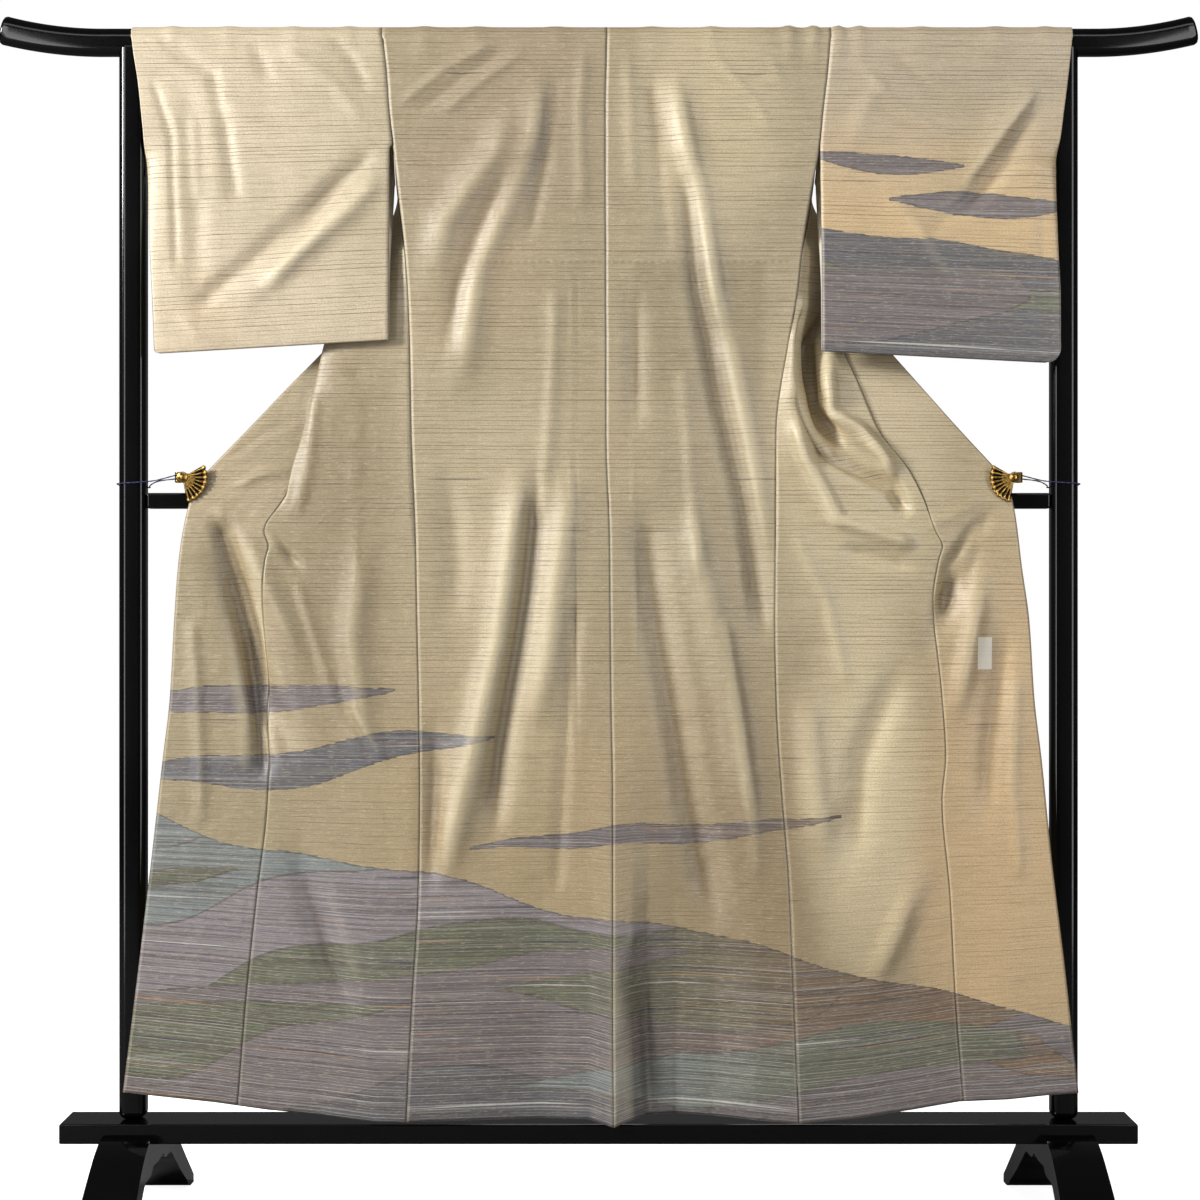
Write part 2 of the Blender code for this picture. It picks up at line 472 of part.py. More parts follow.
def front_section(side, drop):
    """One row of a front, from its inner edge or okumi seam to its side edge."""
    sign = -1 if side == "left" else 1
    places = FRONT_LEFT if side == "left" else FRONT_RIGHT
    if drop < FAR_EDGE.drop[-1]:
        edge = (float(FAR_EDGE.at(side, drop)) - sign * SEAM_GAP / 2, float(FAR_EDGE.at("behind", drop)))
    else:
        edge = (float(BACK.at(side, drop)) + sign * SEAM_GAP / 2, 0.0)
    if drop < FRONT_SEAM_DROP:
        seam_behind = float(OKUMI_SEAM.at(side + "_behind", FRONT_SEAM_DROP))
        seam = (neck_x(side, drop), seam_behind - NECK_STEP * (drop < 0.03))
    else:
        seam = (
            float(OKUMI_SEAM.at(side, drop)) - sign * SEAM_GAP / 2,
            float(OKUMI_SEAM.at(side + "_behind", drop)),
        )
    plain = float(smooth(*PLEAT_OUT, drop))
    points = [edge]
    for name, share in zip("abc", PLAIN_SHARES):
        x = (1 - plain) * float(places.at(name, drop)) + plain * (edge[0] + share * (seam[0] - edge[0]))
        behind = (1 - plain) * float(places.at(name + "_behind", drop))
        points.append((x, behind))
    points.append(seam)
    section = np.array(curve_through(points, FRONT_COLUMNS))[::-1]
    x = section[:, 0]
    y = front_y(x, drop, section[:, 1])
    return np.stack([x, y, HANG_Z - true_drop(x, drop)], axis=1)


def okumi_point(side, drop, share):
    """x and distance behind the hanging plane, from the okumi seam (share 0) to the outer edge (share 1)."""
    sign = -1 if side == "left" else 1
    step_back = OKUMI_BEHIND * (1 - float(smooth(*OKUMI_STEP_OUT, drop)))
    start = float(OKUMI_SEAM.at(side, drop)) + sign * SEAM_GAP / 2
    end = float(EDGE.at(side, drop))
    start_behind = float(OKUMI_SEAM.at(side + "_behind", drop)) + step_back
    end_behind = float(EDGE.at(side + "_behind", drop)) + step_back
    return start + share * (end - start), start_behind + share * (end_behind - start_behind)


def okumi_rows(side):
    rows = []
    for drop in OKUMI_DROPS:
        points = [okumi_point(side, drop, k / (OKUMI_COLUMNS - 1)) for k in range(OKUMI_COLUMNS)]
        x, behind = np.array(points).T
        rows.append(np.stack([x, front_y(x, drop, behind), HANG_Z - true_drop(x, drop)], axis=1))
    return rows


def sleeve_point(side, share, across, layer):
    """A point of a sleeve: share of its length, share across from its inner edge, and near or far layer."""
    table = SLEEVE_LEFT if side == "left" else SLEEVE_RIGHT
    inner_bottom, outer_bottom, corner = SLEEVE_BOTTOM[side]
    bottom = inner_bottom + (outer_bottom - inner_bottom) * across
    drop = share * bottom
    sign = -1 if side == "left" else 1
    far = "_far" if layer == "far" else ""
    seam, seam_end = (BACK, ARMHOLE_END) if layer == "near" else (FAR_EDGE, ARMHOLE_END_FAR)
    if drop < seam_end:
        inner = float(seam.at(side, drop)) + sign * SEAM_GAP / 2
    else:
        inner = float(table.at("inner" + far, drop))
    outer = float(table.at("outer" + far, drop))
    into_corner = max(0.0, drop - (bottom - corner))
    outer -= sign * (corner - math.sqrt(max(corner**2 - into_corner**2, 0.0)))
    x = inner + (outer - inner) * across
    near_y, far_y = -float(table.at("near", drop)), -float(table.at("far", drop))
    middle, half = (near_y + far_y) / 2, (far_y - near_y) / 2
    to_bottom = (bottom - drop) / SLEEVE_CLOSING
    closing = math.sqrt(1 - (1 - min(to_bottom, 1)) ** 2)
    half = SLEEVE_EDGE_HALF + (half - SLEEVE_EDGE_HALF) * closing
    sewn = float(smooth(CUFF_END - CUFF_BLEND, CUFF_END, drop))
    to_outer = abs(outer - x) / SLEEVE_CLOSING
    edge_closing = math.sqrt(1 - (1 - min(to_outer, 1)) ** 2)
    edge_middle = -float(table.at("edge", drop))
    near_edge = 1 - min(to_outer / 3, 1)
    middle += sewn * near_edge**2 * (edge_middle - middle)
    half *= 1 - sewn * (1 - edge_closing) * (1 - SLEEVE_EDGE_HALF / half)
    y = middle + (half if layer == "far" else -half)
    if layer == "near":
        y -= float(route_height(SLEEVE_FOLDS, x, drop)) * closing
    return x, y, HANG_Z - drop


def sleeve_mesh(side):
    """Points and faces: a loop round the cloth, near layer up and far layer down, for each place across."""
    sign = -1 if side == "left" else 1
    across = np.linspace(0, 1, SLEEVE_COLUMNS)
    across = np.append(across[:-1], (0.96, 1.0))
    rows = []
    for share in SLEEVE_SHARES:
        rows.append([sleeve_point(side, share, a, "near") for a in across])
    table = SLEEVE_LEFT if side == "left" else SLEEVE_RIGHT
    for angle in BAR_ANGLES:
        y, z = over_bar(angle)
        inner = BACK.columns[side][0] + sign * SEAM_GAP / 2
        outer = table.columns["outer"][0]
        rows.append([(inner + (outer - inner) * a, y, z) for a in across])
    for share in reversed(SLEEVE_SHARES):
        rows.append([sleeve_point(side, share, a, "far") for a in across])
    count, width = len(rows), len(across)
    faces = []
    for i in range(count):
        for j in range(width - 1):
            a, b = i * width + j, (i + 1) % count * width + j
            faces.append((a, a + 1, b + 1, b))
    last = width - 1
    for i, share in enumerate(SLEEVE_SHARES[1:]):
        if share <= CUFF_SHARE:
            break
        near_low, near_high = i * width + last, (i + 1) * width + last
        far_low, far_high = (count - 1 - i) * width + last, (count - 2 - i) * width + last
        faces.append((near_low, near_high, far_high, far_low))
    return [tuple(map(float, p)) for row in rows for p in row], faces


def collar_seam():
    """The line that the collar is sewn along, left tip to right tip: x, drop and distance behind."""
    centre = BACK.columns["centre"][0]
    left, right = [], []
    for drop in COLLAR_EDGE_DROPS:
        for side, found in (("left", left), ("right", right)):
            found.append((float(EDGE.at(side, drop)), drop, float(EDGE.at(side + "_behind", drop))))
    for drop in NECK_DROPS:
        reach = float(NECK.at("half_width", drop))
        left.append((centre - reach, drop, NECK_BEHIND))
        right.append((centre + reach, drop, NECK_BEHIND))
    middle = [(centre, COLLAR_TOP_DROP, NECK_BEHIND)]
    return left + middle + right[::-1]


def okumi_behind(side, x, drop):
    """How far behind the hanging plane the okumi lies at this place, or its nearer edge beyond it."""
    if drop < OKUMI_DROPS[0]:
        return float(EDGE.at(side + "_behind", max(drop, FRONT_SEAM_DROP)))
    start, start_behind = okumi_point(side, drop, 0)
    end, end_behind = okumi_point(side, drop, 1)
    share = min(max((x - start) / (end - start), 0), 1)
    return start_behind + share * (end_behind - start_behind)


def okumi_top(side, x, drop):
    """The furthest behind that the okumi comes anywhere close to this place."""
    return max(
        okumi_behind(side, x + dx, drop + dd)
        for dx in (-COLLAR_LOOK, 0, COLLAR_LOOK)
        for dd in (-COLLAR_LOOK, 0, COLLAR_LOOK)
    )


def collar_rows():
    """The middle of the collar band, row by row along its seam line, left tip to right tip."""
    seam = collar_seam()
    tangents = np.gradient(np.array([(x, drop) for x, drop, _ in seam]), axis=0)
    rows = []
    for (x, drop, behind), (tx, td) in zip(seam, tangents):
        inward = np.array((-td, tx)) / math.hypot(tx, td)
        width = COLLAR_WIDTH + (COLLAR_TIP_WIDTH - COLLAR_WIDTH) * float(smooth(*COLLAR_FLARE, drop))
        side = "left" if x < BACK.columns["centre"][0] else "right"
        blend = float(smooth(*COLLAR_ON_OKUMI, drop))
        row = []
        for share in COLLAR_SHARES:
            reach = COLLAR_INSET + (width - COLLAR_INSET) * share
            px, pd = x + inward[0] * reach, drop + inward[1] * reach
            back = behind
            if blend > 0:
                back += blend * (okumi_top(side, px, pd) - behind)
            row.append((px, float(front_y(px, pd, back + COLLAR_OFF_OKUMI)), HANG_Z - pd))
        rows.append(row)
    return np.array(rows)


def over_collar_rows():
    """The over-collar: the band's middle part moved out along its own normals."""
    grid = collar_rows()
    normal = np.cross(np.gradient(grid, axis=0), np.gradient(grid, axis=1))
    normal /= np.linalg.norm(normal, axis=2, keepdims=True)
    normal *= np.sign(normal[..., 1].sum())
    lift = COLLAR_WALL / 2 + LAYER_GAP + OVER_COLLAR_WALL / 2
    covered = [drop <= OVER_COLLAR_DROP for _, drop, _ in collar_seam()]
    return (grid + lift * normal)[covered, 1:-1]


# --- building -------------------------------------------------------------------------------------
def material(name, colour, roughness, metallic=0.0):
    made = bpy.data.materials.new(name)
    made.use_nodes = True
    shader = made.node_tree.nodes["Principled BSDF"]
    shader.inputs["Base Color"].default_value = (*colour, 1)
    shader.inputs["Roughness"].default_value = roughness
    shader.inputs["Metallic"].default_value = metallic
    return made


def add_object(name, mesh, finish, collection):
    obj = bpy.data.objects.new(name, mesh)
    obj.data.materials.append(finish)
    collection.objects.link(obj)
    return obj


def add_wall(name, points, faces, thickness, finish, collection):
    """An open sheet of cloth given its thickness."""
    mesh = bpy.data.meshes.new(name)
    mesh.from_pydata(points, [], faces)
    work = bmesh.new()
    work.from_mesh(mesh)
    bmesh.ops.recalc_face_normals(work, faces=work.faces)
    bmesh.ops.triangulate(work, faces=work.faces)
    work.to_mesh(mesh)
    work.free()
    mesh.shade_smooth()
    obj = add_object(name, mesh, finish, collection)
    solidify = obj.modifiers.new("Wall", "SOLIDIFY")
    solidify.thickness = thickness
    solidify.offset = 0
    return obj


def add_grid(name, rows, thickness, finish, collection):
    width = len(rows[0])
    points = [tuple(map(float, p)) for row in rows for p in row]
    faces = [
        (i * width + j, i * width + j + 1, (i + 1) * width + j + 1, (i + 1) * width + j)
        for i in range(len(rows) - 1)
        for j in range(width - 1)
    ]
    return add_wall(name, points, faces, thickness, finish, collection)


def add_loft(name, rings, finish, collection, bevel=0.0):
    """A closed solid through rings of points, with flat ends."""
    work = bmesh.new()
    made = [[work.verts.new(p) for p in ring] for ring in rings]
    count = len(rings[0])
    for first, second in zip(made[:-1], made[1:]):
        for j in range(count):
            work.faces.new((first[j], first[(j + 1) % count], second[(j + 1) % count], second[j]))
    work.faces.new(made[0][::-1])
    work.faces.new(made[-1])
    bmesh.ops.recalc_face_normals(work, faces=work.faces)
    mesh = bpy.data.meshes.new(name)
    work.to_mesh(mesh)
    work.free()
    obj = add_object(name, mesh, finish, collection)
    if bevel:
        modifier = obj.modifiers.new("Edges", "BEVEL")
        modifier.width = bevel
        modifier.segments = 1
        modifier.limit_method = "ANGLE"
    return obj


def add_box(name, low, high, bevel, finish, collection):
    low, high = np.array(low), np.array(high)
    work = bmesh.new()
    bmesh.ops.create_cube(work, size=1)
    for vertex in work.verts:
        vertex.co = (low + high) / 2 + np.array(vertex.co) * (high - low)
    mesh = bpy.data.meshes.new(name)
    work.to_mesh(mesh)
    work.free()
    obj = add_object(name, mesh, finish, collection)
    if bevel:
        modifier = obj.modifiers.new("Edges", "BEVEL")
        modifier.width = bevel
        modifier.segments = 2
    return obj


def cut(obj, cutter):
    modifier = obj.modifiers.new("Cut", "BOOLEAN")
    modifier.operation = "DIFFERENCE"
    modifier.object = cutter
    cutter.hide_render = True
    cutter.display_type = "WIRE"


def bar_rings(grow):
    """Rounded sections along the top bar, whose ends sweep up, made larger all round by grow."""
    stations = (0.0, 0.35, BAR_BEND_START, 0.725, 0.750, 0.775, 0.800, 0.822, BAR_HALF_LENGTH)
    rings = []
    for x in [-s for s in stations[:0:-1]] + list(stations):
        bend = max(0.0, abs(x) - BAR_BEND_START) / (BAR_HALF_LENGTH - BAR_BEND_START)
        rise = BAR_TIP_RISE * bend**2
        lean = math.copysign(2 * BAR_TIP_RISE * bend / (BAR_HALF_LENGTH - BAR_BEND_START), x)
        ring = []
        for k in range(BAR_SIDES):
            y, up = bar_section(360 * k / BAR_SIDES, grow)
            ring.append((x - lean * up, y, BAR_Z + rise + up))
        rings.append(ring)
    return rings


def foot_rings(x):
    stations = [(-y, top, under, half) for y, top, under, half in FOOT_STATIONS[:0:-1]]
    stations += list(FOOT_STATIONS)
    return [
        [(x - half, y, under), (x + half, y, under), (x + half, y, top), (x - half, y, top)]
        for y, top, under, half in stations
    ]


def clip_pivot(side):
    sign = -1 if side == "left" else 1
    return sign * (CLIP_X + CLIP_PIVOT_OUT), HANG_Z - CLIP_DROP + CLIP_PIVOT_UP


def cloth_at(side, x, z):
    """Front and back faces of whatever cloth is at this place near the clip, or None past its edge."""
    drop = HANG_Z - z
    if abs(x) > abs(float(EDGE.at(side, drop))) + 0.001:
        return None
    near = float(front_y(x, drop, okumi_behind(side, x, drop)))
    far = float(front_y(x, drop, okumi_top(side, x, drop)))
    return near - WALL / 2, far + COLLAR_OFF_OKUMI + COLLAR_WALL / 2


def leaf_turn(side, share):
    return math.radians((150 if side == "right" else -80) + LEAF_SPAN * share)


def clip_faces(side):
    """Y of the leaf's back and of the jaw's front: each just clears the cloth under it."""
    pivot_x, pivot_z = clip_pivot(side)
    sign = -1 if side == "left" else 1
    leaf, jaw = [], []
    for share in np.linspace(0, 1, 12):
        turn = leaf_turn(side, share)
        for radius in np.linspace(CLIP_HUB, CLIP_RADIUS, 7):
            leaf.append(cloth_at(side, pivot_x + radius * math.cos(turn), pivot_z + radius * math.sin(turn)))
    for reach in np.linspace(-0.006, JAW_REACH, 8):
        for up in (-JAW_HALF_WIDTH, 0, JAW_HALF_WIDTH):
            jaw.append(cloth_at(side, pivot_x - sign * reach, pivot_z + up))
    return min(face[0] for face in leaf if face), max(face[1] for face in jaw if face)


def add_clip(side, finish, collection):
    """A folding-fan clip: a ribbed leaf in front, a plain jaw behind and the sprung pivot between them."""
    sign = -1 if side == "left" else 1
    pivot_x, pivot_z = clip_pivot(side)
    front, back = clip_faces(side)
    leaf_y, jaw_y = front - CLIP_GAP - LEAF_RIDGE, back + CLIP_GAP
    width = 2 * LEAF_RIBS + 1
    grid = []
    for radius, share_of_ridge in ((CLIP_HUB, 0.3), (CLIP_RADIUS, 1.0)):
        for k in range(width):
            turn = leaf_turn(side, k / (width - 1))
            ridge = LEAF_RIDGE * share_of_ridge * (1 if k % 2 else -1)
            x, z = pivot_x + radius * math.cos(turn), pivot_z + radius * math.sin(turn)
            grid.append((x, leaf_y + ridge, z))
    mesh = bpy.data.meshes.new("clip_" + side)
    mesh.from_pydata(grid, [], [(j, j + 1, width + j + 1, width + j) for j in range(width - 1)])
    work = bmesh.new()
    work.from_mesh(mesh)
    bmesh.ops.recalc_face_normals(work, faces=work.faces)
    extruded = bmesh.ops.extrude_face_region(work, geom=list(work.faces))
    for item in extruded["geom"]:
        if isinstance(item, bmesh.types.BMVert):
            item.co.y -= LEAF_THICKNESS
    bmesh.ops.recalc_face_normals(work, faces=work.faces)
    work.to_mesh(mesh)
    work.free()
    obj = add_object("clip_" + side, mesh, finish, collection)
    past, inner = pivot_x + sign * 0.010, pivot_x - sign * JAW_REACH
    root = pivot_x + sign * 0.006
    helpers = [
        add_box(
            "clip_pivot_" + side,
            (min(pivot_x, past), leaf_y - 0.003, pivot_z - 0.007),
            (max(pivot_x, past), jaw_y + JAW_THICKNESS + 0.0002, pivot_z + 0.007),
            0.0015, finish, collection,
        ),
        add_box(
            "clip_jaw_" + side,
            (min(root, inner), jaw_y, pivot_z - JAW_HALF_WIDTH),
            (max(root, inner), jaw_y + JAW_THICKNESS, pivot_z + JAW_HALF_WIDTH),
            0, finish, collection,
        ),
        add_box(
            "clip_root_" + side,
            (pivot_x - 0.0075, leaf_y - 0.0027, pivot_z - 0.0075),
            (pivot_x + 0.0075, leaf_y + 0.0003, pivot_z + 0.0075),
            0.0012, finish, collection,
        ),
    ]
    for helper in helpers:
        union = obj.modifiers.new("Join", "BOOLEAN")
        union.operation = "UNION"
        union.object = helper
        helper.hide_render = True
        helper.display_type = "WIRE"
    return obj


def add_tube(name, route, diameter, finish, collection):
    curve = bpy.data.curves.new(name, "CURVE")
    curve.dimensions = "3D"
    curve.bevel_depth = diameter / 2
    curve.bevel_resolution = 2
    curve.use_fill_caps = True
    spline = curve.splines.new("POLY")
    spline.points.add(len(route) - 1)
    for point, place in zip(spline.points, route):
        point.co = (*place, 1)
    obj = bpy.data.objects.new(name, curve)
    obj.data.materials.append(finish)
    collection.objects.link(obj)
    return obj


def cord_route(side):
    """From the clip to the post, once round it and back to the clip, a little lower."""
    sign = -1 if side == "left" else 1
    off = CORD_DIAMETER / 2 + CORD_GAP
    near, far = -POST_HALF_DEPTH - off, POST_HALF_DEPTH + off
    inner, outer = POST_X - POST_HALF_WIDTH - off, POST_X + POST_HALF_WIDTH + off
    pivot_x, clip_z = clip_pivot(side)
    clip_y = sum(clip_faces(side)) / 2
    start = pivot_x + sign * (0.010 + off)
    return [
        (start, clip_y, clip_z + 0.003),
        (sign * (inner - 0.012), near + 0.004, clip_z - 0.004),
        (sign * (inner + 0.004), near, clip_z - 0.006),
        (sign * (outer - 0.006), near, clip_z - 0.008),
        (sign * (outer - 0.001), near + 0.002, clip_z - 0.0085),
        (sign * outer, near + 0.007, clip_z - 0.009),
        (sign * outer, far - 0.006, clip_z - 0.010),
        (sign * (outer - 0.001), far - 0.001, clip_z - 0.0105),
        (sign * (outer - 0.006), far, clip_z - 0.011),
        (sign * (inner + 0.006), far, clip_z - 0.012),
        (sign * (inner + 0.001), far - 0.001, clip_z - 0.0122),
        (sign * inner, far - 0.006, clip_z - 0.0122),
        (sign * (inner - 0.003), 0.000, clip_z - 0.010),
        (sign * (inner - 0.016), clip_y + 0.008, clip_z - 0.005),
        (start, clip_y, clip_z - 0.002),
    ]


def main():
    for old in list(bpy.data.objects):
        bpy.data.objects.remove(old)
    parts = bpy.data.collections.new("silk_kimono_on_stand")
    cutters = bpy.data.collections.new("cutters")
    bpy.context.scene.collection.children.link(parts)
    bpy.context.scene.collection.children.link(cutters)
    silk = material("silk", (0.56, 0.47, 0.29), 0.55)
    lacquer = material("lacquer", (0.012, 0.012, 0.014), 0.12)
    brass = material("brass", (0.70, 0.50, 0.18), 0.25, 1.0)
    cord = material("cord", (0.03, 0.03, 0.12), 0.8)

    for side in ("left", "right"):
        add_grid("body_" + side, body_rows(side), WALL, silk, parts)
        add_grid("okumi_" + side, okumi_rows(side), WALL, silk, parts)
        points, faces = sleeve_mesh(side)
        add_wall("sleeve_" + side, points, faces, WALL, silk, parts)
    add_grid("collar", collar_rows(), COLLAR_WALL, silk, parts)
    add_grid("over_collar", over_collar_rows(), OVER_COLLAR_WALL, silk, parts)

    add_loft("top_bar", bar_rings(0.0), lacquer, parts)
    bar_cutter = add_loft("bar_cutter", bar_rings(FOOT_GAP), lacquer, cutters)
    beam_low = BEAM_TOP_Z - BEAM_THICKNESS
    add_box(
        "base_beam",
        (-BEAM_HALF_LENGTH, -BEAM_HALF_DEPTH, beam_low),
        (BEAM_HALF_LENGTH, BEAM_HALF_DEPTH, BEAM_TOP_Z),
        0.002, lacquer, parts,
    )
    inner = POST_X - POST_HALF_WIDTH - FOOT_GAP
    add_box(
        "mid_bar",
        (-inner, -MID_BAR_HALF, MID_BAR_Z - MID_BAR_HALF),
        (inner, MID_BAR_HALF, MID_BAR_Z + MID_BAR_HALF),
        0.004, lacquer, parts,
    )
    for side, sign in (("left", -1), ("right", 1)):
        x = sign * POST_X
        post = add_box(
            "post_" + side,
            (x - POST_HALF_WIDTH, -POST_HALF_DEPTH, BEAM_TOP_Z + FOOT_GAP),
            (x + POST_HALF_WIDTH, POST_HALF_DEPTH, POST_TOP_Z),
            0.004, lacquer, parts,
        )
        cut(post, bar_cutter)
        add_loft("foot_" + side, foot_rings(x), lacquer, parts, 0.003)
        add_clip(side, brass, parts)
        route = cord_route(side)
        add_tube("cord_" + side, curve_through(route, (3,) * (len(route) - 1)), CORD_DIAMETER, cord, parts)


main()
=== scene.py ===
"""Looks of the silk kimono on its stand: the cloth as thin shells on the frame's own forms, metres, +Z up.

A point of hanging cloth is named by x and by its drop, as in the frame's solids. The same tables place both, and
the creases and gathers that are too fine for the solids are added here.
"""
import math

import bmesh
import bpy
import numpy as np
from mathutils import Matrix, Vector

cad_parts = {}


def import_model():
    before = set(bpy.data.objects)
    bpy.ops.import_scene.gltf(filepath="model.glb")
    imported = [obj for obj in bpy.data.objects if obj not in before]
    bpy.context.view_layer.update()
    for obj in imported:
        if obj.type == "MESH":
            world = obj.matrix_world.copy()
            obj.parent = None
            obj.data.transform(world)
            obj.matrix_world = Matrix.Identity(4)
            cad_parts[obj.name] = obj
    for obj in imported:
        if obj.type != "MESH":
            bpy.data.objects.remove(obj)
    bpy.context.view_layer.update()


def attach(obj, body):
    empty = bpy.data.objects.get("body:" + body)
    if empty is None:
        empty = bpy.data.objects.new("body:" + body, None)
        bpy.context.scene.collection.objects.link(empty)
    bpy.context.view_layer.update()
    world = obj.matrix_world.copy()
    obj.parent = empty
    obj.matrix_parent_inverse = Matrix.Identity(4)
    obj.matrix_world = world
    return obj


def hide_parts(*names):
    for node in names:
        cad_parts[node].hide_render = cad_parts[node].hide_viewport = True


CLOTH_STEP = 0.005  # between points along the cloth
TABLE_STEPS = 2001  # places that a table is read at beforehand
SHELL = 0.0011  # thickness of the shells
SIGN = {"left": -1, "right": 1}  # as the viewer sees them

HANG_Z = 1.687  # height that every drop is measured from
WALL = 0.0015  # body, okumi and sleeves: face cloth and lining together
COLLAR_WALL = 0.003  # the collar band is folded double
OVER_COLLAR_WALL = 0.0012
SEAM_GAP = 0.0001  # between two pieces that are sewn together
LAYER_GAP = 0.0008  # between two pieces that lie on each other
HEM_DROP = 1.500  # nominal drop of the hem, which the hem table then shifts

BAR_Z = 1.6725
BAR_HALF_HEIGHT = 0.0195
BAR_HALF_DEPTH = 0.016
BAR_HALF_LENGTH = 0.842
BAR_TIP_RISE = 0.018
BAR_BEND_START = 0.700  # where each end of the bar starts to curve up
BAR_SQUARENESS = 2.3  # exponent of the bar's rounded section
CLOTH_OFF_BAR = 0.0014  # from the bar's surface to the middle of the cloth
BAR_SIDES = 48  # points round its section
BAR_TIP = ((BAR_HALF_LENGTH - 0.0012, 0.93), (BAR_HALF_LENGTH, 0.82))  # x, and the section's share of its size

POST_X = 0.657
POST_HALF_WIDTH = 0.019
POST_HALF_DEPTH = 0.017
BEAM_TOP_Z = 0.153
BEAM_THICKNESS = 0.028
BEAM_HALF_LENGTH = 0.7535
BEAM_HALF_DEPTH = 0.040
MID_BAR_Z = 1.025
MID_BAR_HALF = 0.011
FOOT_GAP = 0.0003  # between two timbers of the stand
FOOT_BLOCK, FOOT_STEPS = 3, 36  # rows of the middle block, and sections of each curve
FOOT_STATIONS = (  # distance from the beam's middle, top, underside and half width
    (0.000, 0.1247, 0.092, 0.0350), (0.036, 0.1247, 0.094, 0.0350), (0.0403, 0.1247, 0.090, 0.0350),
    (0.0404, 0.1370, 0.090, 0.0350), (0.055, 0.1350, 0.084, 0.0350), (0.085, 0.1250, 0.084, 0.0352),
    (0.120, 0.1050, 0.064, 0.0358), (0.155, 0.0800, 0.040, 0.0370), (0.190, 0.0520, 0.018, 0.0385),
    (0.220, 0.0280, 0.000, 0.0400), (0.240, 0.0120, 0.000, 0.0410),
)

CLIP_X = 0.566
CLIP_DROP = 0.634
CLIP_RADIUS = 0.036
CLIP_PIVOT_OUT, CLIP_PIVOT_UP = 0.017, 0.004  # from the cloth's edge to the pivot
CLIP_HUB = 0.006  # radius that the leaf starts at
LEAF_START, LEAF_SPAN = {"left": -80, "right": 150}, 110  # degrees
LEAF_RIBS = 9
LEAF_TURNS, LEAF_RADII = 10 * LEAF_RIBS, 16  # steps along the lip and out from the hub
LEAF_RIDGE = 0.0006  # height of a rib
LEAF_VALLEY = (0.42, 0.93)  # painted shade and dark reflection between the ribs, from share to share of the radius
LEAF_THICKNESS = 0.0016
LEAF_SCALLOP = 0.0022  # how far each rib's end stands out
LEAF_BEADS = ((0.0007, 0.93, 0.05), (-0.0004, 0.80, 0.03))  # lip and groove: height, and place and width as shares
RIVET = (  # radius, and how far out from the leaf
    (0.0078, 0.0), (0.0078, 0.0012), (0.0070, 0.0019), (0.0042, 0.0021), (0.0038, 0.0030), (0.0026, 0.0036),
    (0.0001, 0.0038),
)
SPRING_TURNS, SPRING_PITCH, SPRING_OUT = 9, 0.0016, 0.0068
SPRING_FLAT = 0.62  # the spring's width as a share of its depth
JAW_REACH, JAW_BACK = 0.020, 0.006  # from the pivot inwards and outwards
JAW_HALF_WIDTH, JAW_THICKNESS = 0.006, 0.0012
CLIP_GAP = 0.0004  # between a clip and the cloth
EDGE_SLACK = 0.001  # a clip reckons with cloth this far past its edge
CORD_DIAMETER = 0.002
CORD_GAP = 0.0004  # between a cord and what it passes
CORD_SIDES, CORD_PLIES, CORD_PITCH, CORD_GROOVE = 12, 2, 0.006, 0.14  # the groove as a share of the radius

FRONT_COLUMNS = (20, 12, 14, 14)
BODY_COLUMNS = sum(FRONT_COLUMNS) + 1
OKUMI_COLUMNS = 36
SLEEVE_COLUMNS = 72
SLEEVE_ROWS = 96
CUFF_END = 0.198  # drop where the cuff opening ends and the sleeve's edge is sewn


class Table:
    """Named columns in millimetres against drop, read in metres between rows by a monotone cubic."""

    def __init__(self, columns, *rows):
        names = columns.split()
        read = dict(zip(names, np.array(rows, float).T / 1000))
        self.drop, self.columns = read.pop(names[0]), read
        self.fine = np.linspace(self.drop[0], self.drop[-1], TABLE_STEPS)
        self.read = {name: monotone_cubic(self.drop, ys, self.fine) for name, ys in self.columns.items()}

    def at(self, name, drop):
        return np.interp(drop, self.fine, self.read[name])

    def edge(self, side, drop):
        """The x of a seam on this side, and how far behind the hanging plane it lies."""
        return self.at(side, drop), self.at(side + "_behind", drop)


def monotone_cubic(xs, ys, x):
    x = np.clip(np.asarray(x, float), xs[0], xs[-1])
    steps = np.diff(xs)
    rises = np.diff(ys) / steps
    slopes = np.zeros(len(xs))
    slopes[0], slopes[-1] = rises[0], rises[-1]
    for i in range(1, len(xs) - 1):
        if rises[i - 1] * rises[i] > 0:
            before = 2 * steps[i] + steps[i - 1]
            after = steps[i] + 2 * steps[i - 1]
            slopes[i] = (before + after) / (before / rises[i - 1] + after / rises[i])
    i = np.clip(np.searchsorted(xs, x, side="right") - 1, 0, len(xs) - 2)
    t = (x - xs[i]) / steps[i]
    return (
        (1 + 2 * t) * (1 - t) ** 2 * ys[i]
        + t * (1 - t) ** 2 * steps[i] * slopes[i]
        + t * t * (3 - 2 * t) * ys[i + 1]
        + t * t * (t - 1) * steps[i] * slopes[i + 1]
    )


def smooth(low, high, value):
    t = np.clip((np.asarray(value, float) - low) / (high - low), 0, 1)
    return t * t * (3 - 2 * t)


def routes(*rows):
    """Folds in millimetres: half width, height towards the viewer, then x and drop of each place on the way."""
    return [(half / 1000, height / 1000, np.array(way).reshape(-1, 2) / 1000) for half, height, *way in rows]


def quads(rows, width, round_rows=False, round_width=False):
    """Faces between the neighbouring points of a grid, which may close on itself either way."""
    starts = [(i * width, (i + 1) % rows * width) for i in range(rows if round_rows else rows - 1)]
    steps = [(j, (j + 1) % width) for j in range(width if round_width else width - 1)]
    return [(a + j, a + k, b + k, b + j) for a, b in starts for j, k in steps]


